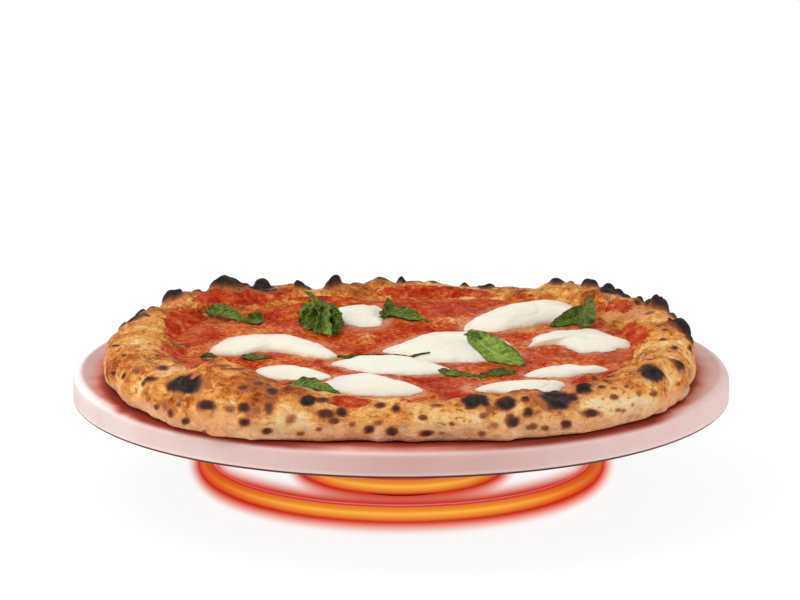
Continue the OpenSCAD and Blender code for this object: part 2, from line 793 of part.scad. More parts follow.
module dome(half_x, half_y, h) {
    around = 20;
    levels = [0, 0.35, 0.65, 0.88];
    points = concat(
        [for (l = levels, k = [0 : around - 1]) let (
            shrink = sqrt(1 - l * l), a = k * 360 / around
        ) [half_x * shrink * cos(a), half_y * shrink * sin(a), l * h]],
        [[0, 0, h]]
    );
    top = len(levels) * around;
    polyhedron(points = points, faces = concat(
        [[for (k = [0 : around - 1]) k]],
        [for (l = [0 : len(levels) - 2], k = [0 : around - 1], half = [0, 1]) let (
            n = (k + 1) % around, a = l * around + k, b = l * around + n
        ) half == 0 ? [a, a + around, b] : [b, a + around, b + around]],
        [for (k = [0 : around - 1]) let (low = top - around)
            [low + k, top, low + (k + 1) % around]]
    ));
}

module mozzarella() {
    color([0.97, 0.94, 0.85]) on_dough(sauce_t + 0.2) for (c = cheese_pieces)
        translate([c[0], c[1], 0]) rotate([0, 0, c[4]]) dome(c[2], c[3], c[5]);
}

// Basil leaves: [middle x, middle y, half length, half width, direction, height of its underside]
leaf_pieces = [
    [-78, 55, 12, 8, 10, 0.4], [-43, 52, 14, 7, 75, 0.4], [5, 58, 14, 8, -20, 0.4],
    [78, 68, 13, 8, 50, 7.2], [42, 4, 20, 11, -50, 7.2], [36, -39, 19, 5, -8, 6.2],
    [-12, 2, 15, 4, 10, 0.4], [-72, -11, 7, 4, -20, 0.4], [-91, -13, 4, 3, 0, 0.4], [-40, -62, 13, 6, -12, 0.4]
];

// A pointed leaf, arched across its length
module leaf(half_len, half_w) {
    along = 8;
    thick = 0.8;
    stations = [for (i = [0 : along]) let (t = i / along) [
        -half_len + 2 * half_len * t,
        max(half_w * pow(sin(180 * t), 0.8), 0.4),
        2.2 * sin(180 * t)
    ]];
    // Four corners at each station: left, middle and right on top, and the same below
    rings = [for (s = stations) [
        [s[0], -s[1], s[2] * 0.4 + thick], [s[0], 0, s[2] + thick], [s[0], s[1], s[2] * 0.4 + thick],
        [s[0], s[1], s[2] * 0.4], [s[0], 0, s[2]], [s[0], -s[1], s[2] * 0.4]
    ]];
    polyhedron(
        points = [for (ring = rings) for (p = ring) p],
        faces = concat(
            [[0, 5, 4], [0, 4, 1], [1, 4, 3], [1, 3, 2]],
            [for (i = [0 : along - 1], k = [0 : 5], half = [0, 1]) let (
                n = (k + 1) % 6, a = i * 6 + k, b = i * 6 + n
            ) half == 0 ? [a, b, a + 6] : [b, b + 6, a + 6]],
            let (e = along * 6) [[e, e + 4, e + 5], [e, e + 1, e + 4], [e + 1, e + 3, e + 4], [e + 1, e + 2, e + 3]]
        )
    );
}

module basil_leaves() {
    color([0.16, 0.40, 0.10]) on_dough(sauce_t + 0.1) for (l = leaf_pieces)
        translate([l[0], l[1], l[5]]) rotate([0, 0, l[4]]) leaf(l[2], l[3]);
}

base_plate();
rubber_feet();
foot_screws();
support_column();
column_screws();
stone_support();
support_screws();
stone_pads();
element_carrier();
carrier_screws();
outer_clips();
inner_clips();
clip_screws();
clip_nuts();
outer_element();
inner_element();
outer_filling();
inner_filling();
outer_coil();
inner_coil();
element_bushings();
element_pins();
element_ferrules();
terminal_box();
terminal_cover();
cover_screws();
terminal_block();
terminal_screws();
jumper_links();
earth_screw();
cord_gland();
gland_nut();
thermal_cutout();
cutout_bracket();
cutout_screws();
cutout_leads();
sensor_leads();
lead_clips();
sensor_guide();
sensor_spring();
sensor_capsule();
sensor_stem();
sensor_circlip();
baking_stone();
pizza_base();
pizza_crust();
tomato_sauce();
mozzarella();
basil_leaves();
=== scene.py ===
import json
import math

import bpy
import numpy as np
from mathutils import Euler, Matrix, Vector
from mathutils.bvhtree import BVHTree


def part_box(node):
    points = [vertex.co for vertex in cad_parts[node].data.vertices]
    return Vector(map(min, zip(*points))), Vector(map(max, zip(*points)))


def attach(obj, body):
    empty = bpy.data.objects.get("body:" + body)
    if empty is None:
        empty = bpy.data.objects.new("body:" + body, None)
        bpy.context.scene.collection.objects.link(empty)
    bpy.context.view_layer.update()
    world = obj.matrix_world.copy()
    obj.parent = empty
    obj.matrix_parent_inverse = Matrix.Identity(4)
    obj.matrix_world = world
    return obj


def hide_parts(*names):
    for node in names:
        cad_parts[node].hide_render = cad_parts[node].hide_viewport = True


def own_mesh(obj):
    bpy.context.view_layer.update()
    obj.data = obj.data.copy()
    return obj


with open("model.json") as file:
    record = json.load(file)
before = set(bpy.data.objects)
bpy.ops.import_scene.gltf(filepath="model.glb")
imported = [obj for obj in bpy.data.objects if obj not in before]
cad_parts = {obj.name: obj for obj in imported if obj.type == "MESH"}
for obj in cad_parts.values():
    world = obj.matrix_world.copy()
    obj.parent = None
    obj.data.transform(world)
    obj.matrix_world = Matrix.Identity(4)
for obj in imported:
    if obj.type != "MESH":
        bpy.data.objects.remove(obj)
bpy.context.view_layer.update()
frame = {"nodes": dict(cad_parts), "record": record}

MM = 0.001
TURN = 2 * math.pi
NODES = frame["nodes"]
SCENE = bpy.context.scene

STONE_LO, STONE_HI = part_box("baking_stone")
STONE_TOP = STONE_HI.z
PIZZA_X, PIZZA_Y = 0.0, -16 * MM
PIZZA_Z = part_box("pizza_crust")[0].z
TUBE_R = 4 * MM
RING_Z = sum(corner.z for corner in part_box("outer_element")) / 2


def linear(colour):
    """A colour as a socket takes it: three numbers are written 0 to 255, four are linear already."""
    if len(colour) == 4:
        return colour
    return tuple((c / 255 / 12.92) if c < 11 else ((c / 255 + 0.055) / 1.055) ** 2.4 for c in colour) + (1.0,)


# Camera: fitted to the stone's rim and the rings in the photograph.
FRAME_W, FRAME_H = 800, 600
CAM_DISTANCE = 1.6
CAM_ELEVATION = 13.604
CAM_FOCAL_PX = 3373.8
AIM_PX = (401.16, 364.8)
SENSOR = 36.0


def make_camera():
    data = bpy.data.cameras.new("camera")
    data.sensor_width = SENSOR
    data.lens = CAM_FOCAL_PX * SENSOR / FRAME_W
    data.clip_start, data.clip_end = 0.1, 50
    cam = bpy.data.objects.new("camera", data)
    SCENE.collection.objects.link(cam)
    e = math.radians(CAM_ELEVATION)
    up = math.atan((AIM_PX[1] - FRAME_H / 2) / CAM_FOCAL_PX)
    left = math.atan((AIM_PX[0] - FRAME_W / 2) / CAM_FOCAL_PX)
    cam.location = Vector((0, -math.cos(e), math.sin(e))) * CAM_DISTANCE + Vector((0, 0, STONE_TOP))
    cam.rotation_euler = Euler((math.pi / 2 - e + up, 0, left))
    SCENE.camera = cam
    bpy.context.view_layer.update()
    return cam


CAMERA = make_camera()


def pixel_ray(u, v):
    """Where the camera is, and the direction in which it sees that pixel of the 800 x 600 frame."""
    d = Vector(((u - FRAME_W / 2) / CAM_FOCAL_PX, (FRAME_H / 2 - v) / CAM_FOCAL_PX, -1)).normalized()
    return CAMERA.location.copy(), CAMERA.rotation_euler.to_matrix() @ d


def project(points):
    """The pixels, in the 800 x 600 frame, at which the camera sees these points."""
    turn = np.array(CAMERA.rotation_euler.to_matrix())
    local = (np.asarray(points) - np.array(CAMERA.location)) @ turn
    return (FRAME_W / 2 - local[..., 0] / local[..., 2] * CAM_FOCAL_PX,
            FRAME_H / 2 + local[..., 1] / local[..., 2] * CAM_FOCAL_PX)


# Noise in numpy, the same on every run.
def hashed(i, j, k, seed):
    with np.errstate(over="ignore"):
        i, j, k = (np.asarray(x).astype(np.int64).astype(np.uint32) for x in (i, j, k))
        n = i * np.uint32(374761393) + j * np.uint32(668265263) + k * np.uint32(2246822519)
        n = n + np.uint32(seed * 7919 + 17)
        n = (n ^ (n >> np.uint32(13))) * np.uint32(1274126177)
        n = (n ^ (n >> np.uint32(16))) * np.uint32(2654435761)
        n = n ^ (n >> np.uint32(15))
    return n.astype(np.float64) / 2147483647.5 - 1


def noise(p, size, seed=0):
    """Smooth noise from -1 to 1 at points p, with lumps of that size."""
    q = p / size
    c = np.floor(q)
    f = q - c
    f = f * f * f * (f * (f * 6 - 15) + 10)
    total = 0
    for dx in (0, 1):
        for dy in (0, 1):
            for dz in (0, 1):
                w = (f[..., 0] if dx else 1 - f[..., 0]) * (f[..., 1] if dy else 1 - f[..., 1])
                w = w * (f[..., 2] if dz else 1 - f[..., 2])
                total = total + w * hashed(c[..., 0] + dx, c[..., 1] + dy, c[..., 2] + dz, seed)
    return total


def fbm(p, size, seed=0, octaves=3):
    return sum(noise(p, size / 2 ** o, seed + 31 * o) * 0.5 ** o for o in range(octaves))


def smooth(a, b, x):
    t = np.clip((x - a) / (b - a), 0, 1)
    return t * t * (3 - 2 * t)


def xyz(x, y, z):
    return np.stack(np.broadcast_arrays(x, y, z), -1)


def angles(count):
    return np.arange(count) / count * TURN


def closed_curve(points, s):
    """Catmull-Rom curve through the points and back to the first, at s, which counts points."""
    i = np.floor(s).astype(int)
    t = (s - i).reshape((-1,) + (1,) * (points.ndim - 1))
    p0, p1, p2, p3 = (points[(i + k) % len(points)] for k in (-1, 0, 1, 2))
    return 0.5 * (2 * p1 + (p2 - p0) * t + (2 * p0 - 5 * p1 + 4 * p2 - p3) * t ** 2
                  + (3 * p1 - p0 - 3 * p2 + p3) * t ** 3)


def round_value(values, degrees):
    """A smooth value round the pizza, from values that are evenly spaced from +X."""
    return closed_curve(np.array(values, float), (degrees % 360) / 360 * len(values))


def closed_spline(points, count):
    """count points along a smooth closed curve through the given points."""
    return closed_curve(np.array(points, float), np.arange(count) / count * len(points))


# Mesh objects.
def add_object(name, verts, faces, material, attributes=None):
    mesh = bpy.data.meshes.new(name)
    mesh.from_pydata(np.asarray(verts).tolist(), [], faces)
    mesh.update()
    mesh.shade_smooth()
    for key, values in (attributes or {}).items():
        layer = mesh.attributes.new(key, "FLOAT", "POINT")
        layer.data.foreach_set("value", np.asarray(values, np.float32).ravel())
    obj = bpy.data.objects.new(name, mesh)
    SCENE.collection.objects.link(obj)
    mesh.materials.append(material)
    return obj


def grid_faces(rows, cols, close_rows, close_cols):
    i = np.arange(rows if close_rows else rows - 1)
    j = np.arange(cols if close_cols else cols - 1)
    i, j = np.meshgrid(i, j, indexing="ij")
    i2, j2 = (i + 1) % rows, (j + 1) % cols
    return np.stack([i * cols + j, i2 * cols + j, i2 * cols + j2, i * cols + j2], -1).reshape(-1, 4)


def mound_faces(turns, rows):
    """A mound's top, the fan in its middle, its skirt down to a low ring, and the fan below.

    The points are the top's, then the low ring's, then the middle of the top and of the bottom.
    """
    faces = grid_faces(turns, rows, True, False).tolist()
    low = turns * rows
    for i in range(turns):
        j = (i + 1) % turns
        faces.append([j * rows, i * rows, low + turns])
        faces.append([i * rows + rows - 1, j * rows + rows - 1, low + j, low + i])
        faces.append([low + i, low + j, low + turns + 1])
    return faces


def turned(faces):
    return [face[::-1] for face in faces]


def grid_normals(p, close_rows, close_cols):
    def slope(axis, closed):
        if closed:
            return np.roll(p, -1, axis) - np.roll(p, 1, axis)
        return np.gradient(p, axis=axis)
    n = np.cross(slope(0, close_rows), slope(1, close_cols))
    return n / np.maximum(np.linalg.norm(n, axis=-1, keepdims=True), 1e-12)


# Material nodes.
class Value:
    """What a node puts out. Sums and products of it, with numbers or other values, add Math nodes."""

    def __init__(self, graph, socket):
        self.graph, self.socket = graph, socket

    def __add__(self, other):
        return self.graph.math("ADD", self, other)

    def __sub__(self, other):
        return self.graph.math("SUBTRACT", self, other)

    def __rsub__(self, other):
        return self.graph.math("SUBTRACT", other, self)

    def __mul__(self, other):
        return self.graph.math("MULTIPLY", self, other)

    def __truediv__(self, other):
        return self.graph.math("DIVIDE", self, other)


class Graph:
    """The nodes of a material or of the world, with short calls for the ones used here."""

    def __init__(self, name, kind="Material"):
        self.owner = (bpy.data.worlds if kind == "World" else bpy.data.materials).new(name)
        self.owner.use_nodes = True
        self.tree = self.owner.node_tree
        self.tree.nodes.clear()
        self.output = self.tree.nodes.new("ShaderNodeOutput" + kind)

    def add(self, kind, inputs=None, output=0, **props):
        """A new node, as the value of one of its outputs."""
        node = self.tree.nodes.new("ShaderNode" + kind)
        for key, value in props.items():
            setattr(node, key, value)
        for key, value in (inputs or {}).items():
            self.put(node.inputs[key], value)
        return Value(self, node.outputs[output])

    def put(self, socket, value):
        if isinstance(value, Value):
            self.tree.links.new(value.socket, socket)
        else:
            socket.default_value = linear(value) if socket.type == "RGBA" else value

    def place(self):
        return self.add("TexCoord", output="Object")

    def coords(self):
        node = self.add("SeparateXYZ", {"Vector": self.place()}).socket.node
        return [Value(self, socket) for socket in node.outputs]

    def attribute(self, name):
        return self.add("Attribute", output="Fac", attribute_name=name)

    def noise(self, size, detail=3.0, rough=0.55, distortion=0.0, at=None):
        """Noise with lumps of that many millimetres."""
        return self.add("TexNoise", {"Scale": 1 / (size * MM), "Detail": detail, "Roughness": rough,
                                     "Distortion": distortion, "Vector": at or self.place()}, "Fac")

    def voronoi(self, size, feature="F1", output="Distance"):
        return self.add("TexVoronoi", {"Scale": 1 / (size * MM), "Vector": self.place()}, output, feature=feature)

    def math(self, operation, *values):
        return self.add("Math", dict(enumerate(values)), operation=operation)

    def length(self, a, b):
        return self.math("SQRT", a * a + b * b)

    def span(self, value, low, high, to_low=0.0, to_high=1.0):
        return self.add("MapRange", {"Value": value, "From Min": low, "From Max": high,
                                     "To Min": to_low, "To Max": to_high}, interpolation_type="SMOOTHSTEP")

    def ramp(self, value, *stops):
        """A colour ramp, in which each stop is its place and its colour."""
        colour = self.add("ValToRGB", {"Fac": value}, "Color")
        elements = colour.socket.node.color_ramp.elements
        while len(elements) < len(stops):
            elements.new(0.5)
        for element, (at, *shade) in zip(elements, stops):
            element.position, element.color = at, linear(shade)
        return colour

    def mix(self, fac, a, b):
        return self.add("Mix", {0: fac, 6: a, 7: b}, 2, data_type="RGBA")

    def bump(self, height, distance, strength):
        return self.add("Bump", {"Height": height, "Distance": distance, "Strength": strength}, "Normal")

    def backdrop(self):
        """1 where the camera, gloss or glass sees this, 0 where it only gives light."""
        path = self.add("LightPath").socket.node.outputs
        camera, gloss, glass = (Value(self, path[f"Is {kind} Ray"]) for kind in ("Camera", "Glossy", "Transmission"))
        return self.math("MAXIMUM", camera, self.math("MAXIMUM", gloss, glass))

    def finish(self, shader, socket="Surface"):
        self.put(self.output.inputs[socket], shader)
        return self.owner

    def surface(self, **inputs):
        """The finished material, from the inputs of its Principled shader."""
        if "Subsurface_Weight" in inputs:
            inputs["Subsurface_Scale"] = 1.0
        return self.finish(self.add("BsdfPrincipled", {k.replace("_", " "): v for k, v in inputs.items()}))


# The pizza's shape, in millimetres from its middle, with heights above the stone.
RIM_RADII = [137, 142, 144, 136, 128, 126, 133, 142, 142, 139, 140, 144, 145, 128, 132, 140, 142, 137]
CRUST_WIDTHS = [30, 30, 30, 28, 27, 27, 29, 31, 32, 33, 36, 42, 42, 30, 32, 37, 35, 31]
CRUST_HEIGHTS = [18, 19, 20, 19, 19, 17.5, 18, 20, 17, 19, 19, 21, 21, 17, 15, 16, 17, 18]
DOUGH_T, DOUGH_RISE, SAUCE_T = 6.9, math.tan(math.radians(2.6)), 1.6
# Each point of the crust's section: part of the way in from the rim, part of the crust's height.
SECTION = [(0.30, 0.0), (0.15, 0.0), (0.045, 0.09), (0.0, 0.34), (0.035, 0.66), (0.17, 0.92), (0.38, 1.0),
           (0.60, 0.95), (0.80, 0.76), (0.95, 0.52)]
SHELF = [(1.12, 0.9), (1.35, 0.0), (1.75, -0.6), (1.80, -3.0), (1.5, -4.5)]
CRUST_STEPS, SECTION_STEPS = 840, 104


def dough_z(y):
    return DOUGH_T + DOUGH_RISE * y


def to_frame(p):
    """From millimetres in the pizza's own measure to metres in the shared frame."""
    return np.asarray(p) * MM + np.array([PIZZA_X, PIZZA_Y, PIZZA_Z])


def crust_grid():
    """The smooth crust in millimetres: rows go round the pizza, columns round the section, at s of its points."""
    a = np.arange(CRUST_STEPS) / CRUST_STEPS * 360
    rim, width, height = (round_value(v, a) for v in (RIM_RADII, CRUST_WIDTHS, CRUST_HEIGHTS))
    ca, sa = np.cos(np.radians(a)), np.sin(np.radians(a))
    ring = xyz(ca, sa, 0) * 120
    rim = rim + 0.9 * fbm(ring, 22, 3)
    height = height + 0.9 * fbm(ring, 26, 5)
    columns = []
    for w, h in SECTION:
        r = rim - w * width
        z = h * height if h < 0.5 else np.maximum(h * height, dough_z(r * sa) + 0.3)
        columns.append(xyz(r * ca, r * sa, z))
    for w, lift in SHELF:
        r = rim - w * width
        columns.append(xyz(r * ca, r * sa, dough_z(r * sa) + lift))
    columns[-1][:, 2] = 0.0
    # more columns on the seen outside than under the sauce
    weight = np.array([0.5, 0.8, 1.6, 1.8, 1.8, 1.6, 1.5, 1.5, 1.4, 1.2, 1.0, 0.9, 0.25, 0.25, 0.25])
    edges = np.concatenate([[0], np.cumsum(weight)]) / weight.sum()
    s = np.interp(np.arange(SECTION_STEPS) / SECTION_STEPS, edges, np.arange(len(columns) + 1))
    return closed_curve(np.stack(columns), s).swapaxes(0, 1), s


# Swollen bubbles and dips of the crust seen in the photograph: pixel of the middle, radius and rise in mm.
BUBBLES = [
    (224, 379, 17, 8.0), (124, 352, 9, 2.5), (160, 392, 10, 2.0), (578, 384, 10, 8.5), (650, 366, 13, 4.5),
    (284, 388, 8, -1.5), (350, 401, 9, -3.5), (246, 412, 9, 1.5), (305, 408, 9, 2.2), (395, 413, 10, 2.0),
    (474, 402, 9, 2.4), (510, 410, 9, 1.6), (543, 408, 11, 2.0), (655, 390, 10, 1.8), (430, 418, 10, 1.4),
    (612, 388, 8, 2.0), (185, 410, 9, 1.6), (378, 283, 14, 0.5), (500, 283, 18, -4.6), (448, 283, 14, -1.6),
    (120, 338, 12, -2.5), (378, 290, 10, -2.0), (270, 282, 12, -2.0), (250, 285, 14, 2.5), (118, 330, 14, -3.0),
]
# Scorched spots: middle and size in its pixels, how dark, how far the blister stands up in mm.
SPOTS = [
    (182.6, 384, 36, 17, 1.0, 1.6), (207, 405.5, 21, 11, 0.85, 0.6), (149.7, 379, 19, 6, 0.85, 0.5),
    (143, 384, 10, 5, 0.7, 0.3), (162.7, 368, 13, 6, 0.8, 0.6), (123.7, 375.6, 8, 7, 0.85, 0.5),
    (113.7, 373.3, 7, 6, 0.75, 0.3), (123.7, 355, 6, 5, 0.85, 0.3), (243.8, 407, 14, 11, 0.85, 0.7),
    (244.6, 422.3, 11, 9, 0.9, 0.8), (267.6, 430.7, 14, 8, 0.75, 0.4), (268.3, 407.8, 12, 18, 0.55, 0.4),
    (272, 391.7, 16, 8, 0.8, 0.8), (259, 384, 14, 7, 0.62, 0.6), (243, 388, 14, 7, 0.66, 0.5),
    (185.7, 420.8, 10, 8, 0.8, 0.4), (170.4, 413, 9, 9, 0.7, 0.4), (155.8, 407, 9, 6, 0.5, 0.3),
    (178.8, 404.7, 8, 7, 0.42, 0.3), (307, 400.5, 15, 10, 0.95, 0.8), (322, 400, 18, 6, 0.7, 0.3),
    (326, 413.5, 22, 10, 0.75, 0.5), (341, 412, 12, 10, 0.9, 0.7), (334, 421, 14, 8, 0.55, 0.3),
    (368.9, 429.2, 12, 10, 0.8, 0.5), (391.8, 431.5, 14, 11, 0.85, 0.7), (380.4, 405.5, 14, 7, 0.7, 0.6),
    (395.7, 408.5, 12, 10, 0.9, 0.8), (427, 433, 17, 8, 0.8, 0.4), (423.2, 417.7, 11, 7, 0.55, 0.3),
    (438, 405.5, 18, 5, 0.5, 0.4), (474.5, 400, 24, 15, 0.97, 1.1), (507.4, 402.4, 19, 12, 0.93, 0.9),
    (525, 399, 11, 8, 0.85, 0.7), (528.8, 412, 11, 10, 0.85, 0.5), (513.5, 422.5, 15, 14, 0.82, 0.5),
    (481.4, 433.8, 11, 7, 0.4, 0.3), (483.7, 415.4, 10, 7, 0.4, 0.3), (318.4, 429.2, 9, 6, 0.45, 0.3),
    (556.6, 400, 36, 21, 1.0, 1.5), (583.4, 387, 18, 12, 0.95, 0.9), (607.9, 377.5, 17, 11, 0.9, 0.8),
    (601.8, 387.1, 10, 7, 0.75, 0.3), (653.8, 371.8, 27, 20, 1.0, 1.3), (680, 365.5, 18, 13, 0.9, 1.0),
    (591.8, 413.1, 21, 10, 0.8, 0.4), (566.6, 423.8, 13, 8, 0.8, 0.4), (653.8, 394, 12, 6, 0.55, 0.3),
    (614, 397, 12, 6, 0.5, 0.3), (627, 386.3, 8, 6, 0.5, 0.3), (663, 339.6, 9, 3, 0.8, 0.4),
    (665, 329.7, 9, 3, 0.7, 0.4), (674.5, 348, 11, 6, 0.7, 0.5), (658, 326, 8, 3, 0.6, 0.4),
    (102.5, 379.5, 5, 8, 0.9, 0.6), (103.5, 366, 4, 6, 0.8, 0.5), (118, 346, 26, 3, 0.75, 0.3),
    (136, 371, 14, 7, 0.45, 0.2), (205, 432, 10, 6, 0.45, 0.2), (300, 434, 12, 6, 0.4, 0.2),
    (352, 424, 9, 6, 0.35, 0.2), (452, 424, 10, 7, 0.35, 0.2), (545, 428, 10, 6, 0.45, 0.2),
    (240, 369, 40, 3, 0.5, 0.3), (221, 366, 30, 3, 0.42, 0.2), (288, 380, 20, 4, 0.6, 0.3),
    (590, 369, 20, 3, 0.5, 0.2), (690, 348, 7, 10, 0.8, 0.4), (618, 410, 9, 6, 0.35, 0.2),
]
BLACK = 0.92  # spots as dark as this stay so, and paler ones are made a little paler still
# Dark blisters on the far rim's outline: pixel column, width, height above the outline, how dark.
RIM_BLISTERS = [
    (131, 16, 2.5, 0.9), (139, 9, 3, 0.92), (171, 17, 6, 0.95), (224, 25, 9, 0.97), (246, 9, 3.5, 0.85),
    (263, 13, 6, 0.93), (302, 15, 5, 0.93), (333.7, 18, 8.5, 0.97), (400.3, 9, 4.5, 0.9), (383, 12, 2, 0.7),
    (463, 9, 3.5, 0.9), (486, 14, 5, 0.95), (556.6, 14, 5, 0.95), (591.8, 15, 6.5, 0.95), (610, 10, 5, 0.93),
    (619.4, 6, 3, 0.85), (642, 6, 4, 0.9), (653, 12, 5, 0.93), (664, 15, 9, 0.97), (684, 15, 9, 0.97),
    (691, 8, 5, 0.9), (675, 8, 3, 0.8), (152, 8, 2, 0.7), (196, 8, 2, 0.7), (573, 8, 2, 0.6), (120, 10, 2, 0.7),
]
# Tints on the seen crust, for each attribute: pixel of the middle, width and height in pixels, amount.
TINTS = {
    "stain": [
        (235, 296, 84, 20, 1.3), (187, 324, 50, 36, 1.2), (283, 292, 44, 10, 0.6), (322, 299, 70, 6, 1.2),
        (430, 292, 120, 14, 1.1), (515, 296, 80, 6, 0.6), (618, 306, 50, 16, 0.8), (634, 332, 36, 22, 0.8),
        (350, 401, 46, 14, 1.3), (168, 352, 40, 14, 0.7), (612, 368, 70, 8, 0.6), (575, 378, 22, 12, 0.5),
        (262, 372, 30, 20, 0.35), (412, 399, 30, 10, 0.8), (136, 371, 30, 14, 0.35),
    ],
    "toast": [
        (222, 368, 90, 26, -0.04), (256, 394, 50, 24, 0.2), (150, 402, 80, 24, 0.2), (215, 422, 70, 20, 0.12),
        (130, 360, 50, 26, 0.14), (640, 366, 80, 20, 0.12), (590, 378, 40, 20, 0.1), (330, 414, 50, 16, 0.14),
        (656, 330, 50, 30, -0.05), (385, 284, 70, 12, 0.2), (500, 288, 120, 12, 0.1), (555, 290, 60, 12, -0.1),
        # (622, 405) below, with the wall tint at (620, 405), is painted light: it lightens the crust's right front,
        # which the lamps leave darker
        (292, 421, 70, 20, -0.28), (450, 420, 100, 20, -0.12), (622, 405, 80, 22, -0.45), (160, 350, 50, 30, -0.08),
        (285, 403, 20, 16, -0.2),
    ],
    "wall": [
        # (620, 405) is painted light, with the toast tint at (622, 405): it lightens the crust's right front
        (620, 405, 60, 20, 0.35), (215, 418, 50, 16, 0.4), (620, 312, 50, 16, 0.6),
    ],
}
CRUST_SEED = 11


def cast(tree, u, v):
    """Where the camera's ray through a pixel meets the crust, or comes nearest to it."""
    origin, direction = pixel_ray(u, v)
    hit = tree.ray_cast(origin, direction)[0]
    if hit is None:
        hit = tree.find_nearest(origin + direction * CAM_DISTANCE)[0]
    return np.array(hit)


def crust_tree(point, faces):
    return BVHTree.FromPolygons(point.reshape(-1, 3).tolist(), faces.tolist())


def find_spots(point, faces):
    """The spots that the camera sees: middle, tangent, half sizes, dark, lift, kind, and pixel ellipse if any."""
    tree = crust_tree(point, faces)
    scale = CAM_FOCAL_PX / CAM_DISTANCE
    found = []
    for u, v, w, h, dark, lift in SPOTS:
        reach = 0.5 * max(w, h) / scale
        dark = dark if dark > BLACK else 0.86 * dark
        found.append((cast(tree, u, v), np.array([1.0, 0.0, 0.0]), 1.35 * reach, reach, dark, lift * MM,
                      "seen", (u, v, w, h)))
    flat = point.reshape(-1, 3)
    columns, rows = project(flat)
    for u, w, up, dark in RIM_BLISTERS:
        near = np.where(np.abs(columns - u) < 1.6)[0]
        top = flat[near[np.argmin(rows[near])]]
        out = Vector((top[0] - PIZZA_X, top[1] - PIZZA_Y, 0)).normalized()
        across = Vector((-out.y, out.x, 0))
        _, direction = pixel_ray(u, 290)
        half = w / 2 / scale / max(0.6, math.sqrt(max(0.0, 1 - across.dot(direction) ** 2)))
        found.append((top, np.array(across), half, half * 0.95, dark, up / scale, "upright", None))
    return found


def random_spots(rng, grid):
    """Spots like the seen ones on the crust's far side, and faint small ones all round."""
    found = []
    while len(found) < 190:
        i, j = rng.integers(CRUST_STEPS), rng.integers(14, 60)
        p = grid[i, j]
        faint = len(found) >= 80
        angle = math.degrees(math.atan2(p[1], p[0]))
        if p[2] < 2.5 or not (faint or 8 < angle < 172) or (rng.random() < 0.4 and j > 40):
            continue
        out = np.array([p[0], p[1], 0]) / np.hypot(p[0], p[1])
        if faint:
            half, dark = rng.uniform(1.4, 4.2), rng.uniform(0.12, 0.36)
        else:
            half = rng.choice([2.2, 3.0, 3.8, 5.2, 7.0], p=[0.3, 0.3, 0.2, 0.13, 0.07])
            dark = rng.uniform(0.5, 0.9) if half < 4 else rng.uniform(0.85, 1.0)
        found.append((to_frame(p), np.array([-out[1], out[0], 0.0]), half * MM, half * rng.uniform(0.55, 0.95) * MM,
                      dark, half * (0.04 if faint else 0.16) * MM, "plain", None))
    return found


def crust_material():
    g = Graph("crust")
    char, toast, stain, wall, crease = (g.attribute(n) for n in ("char", "toast", "stain", "wall", "crease"))
    x, y, _ = g.coords()
    dy = y - PIZZA_Y
    reach = g.length(x, dy)
    # a place in which everything is drawn out along the crust, as its skin is
    drawn = g.add("CombineXYZ", {0: x * (55 * MM) / reach, 1: dy * (55 * MM) / reach, 2: g.attribute("lane")})
    broad = g.noise(10, 4, 0.6)
    small = g.noise(3.4, 4, 0.65, 0.6)
    fine = g.noise(1.3, 3, 0.65)
    wrinkle = g.noise(1.7, 3, 0.6, 0.7, at=drawn)
    level = toast + (broad - 0.5) * 1.15 + (small - 0.5) * 0.9 + (wrinkle - 0.5) * 0.55 + (fine - 0.5) * 0.45
    bread = g.ramp(level, (0.0, 255, 226, 178), (0.2, 250, 200, 128), (0.42, 234, 162, 84), (0.62, 206, 122, 50),
                   (0.8, 168, 84, 32), (1.0, 112, 52, 22))
    pale = g.ramp((small - 0.5) * 0.8 + broad, (0.25, 208, 122, 80), (0.42, 234, 162, 118), (0.56, 247, 190, 146),
                  (0.75, 255, 224, 186))
    # the lower wall is paler and pinker: partly its own lighter bake, partly painted light that keeps it bright down
    # to the stone, where shade falls
    bread = g.mix(wall * 0.8, bread, pale)
    stroke = g.span(wrinkle, 0.56, 0.66) * g.span(broad, 0.38, 0.58, 0.1, 0.75) * g.span(wall, 0.1, 0.7, 1.0, 0.25)
    bread = g.mix(stroke, bread, (150, 74, 28))
    bread = g.mix(crease * g.span(fine, 0.38, 0.6, 0.35, 0.9), bread, (104, 46, 20))
    wet = g.span((g.noise(6, 4, 0.65, 0.8) - 0.5) * 1.9 + stain, 0.42, 0.72)
    juice = g.ramp(g.noise(5, 4, 0.65, 0.5), (0.3, 138, 26, 10), (0.46, 186, 52, 20), (0.58, 206, 84, 36),
                   (0.72, 228, 150, 92))
    bread = g.mix(wet, bread, juice)
    burnt = (g.noise(2.4, 4, 0.65) - 0.5) * g.span(char, 0.04, 0.3, 0.0, 0.45) + char
    dark = g.ramp(burnt, (0.0, 206, 136, 84), (0.22, 176, 104, 62), (0.4, 130, 74, 46), (0.58, 88, 54, 40),
                  (0.78, 56, 40, 34), (1.0, 38, 31, 28))
    colour = g.mix(g.span(burnt, 0.03, 0.26), bread, dark)
    ash = g.mix(g.span(g.noise(2.6, 3), 0.38, 0.68), (32, 27, 25), (60, 52, 49))
    colour = g.mix(g.span(burnt, 0.84, 0.97), colour, ash)
    height = small * 1.5 + wrinkle * 1.5 + fine * 0.6 - crease * 0.8
    return g.surface(Base_Color=colour, Roughness=0.6, Normal=g.bump(height, 0.0009, 0.8), Specular_IOR_Level=0.06,
                     Subsurface_Weight=0.06, Subsurface_Radius=(0.004, 0.002, 0.001))


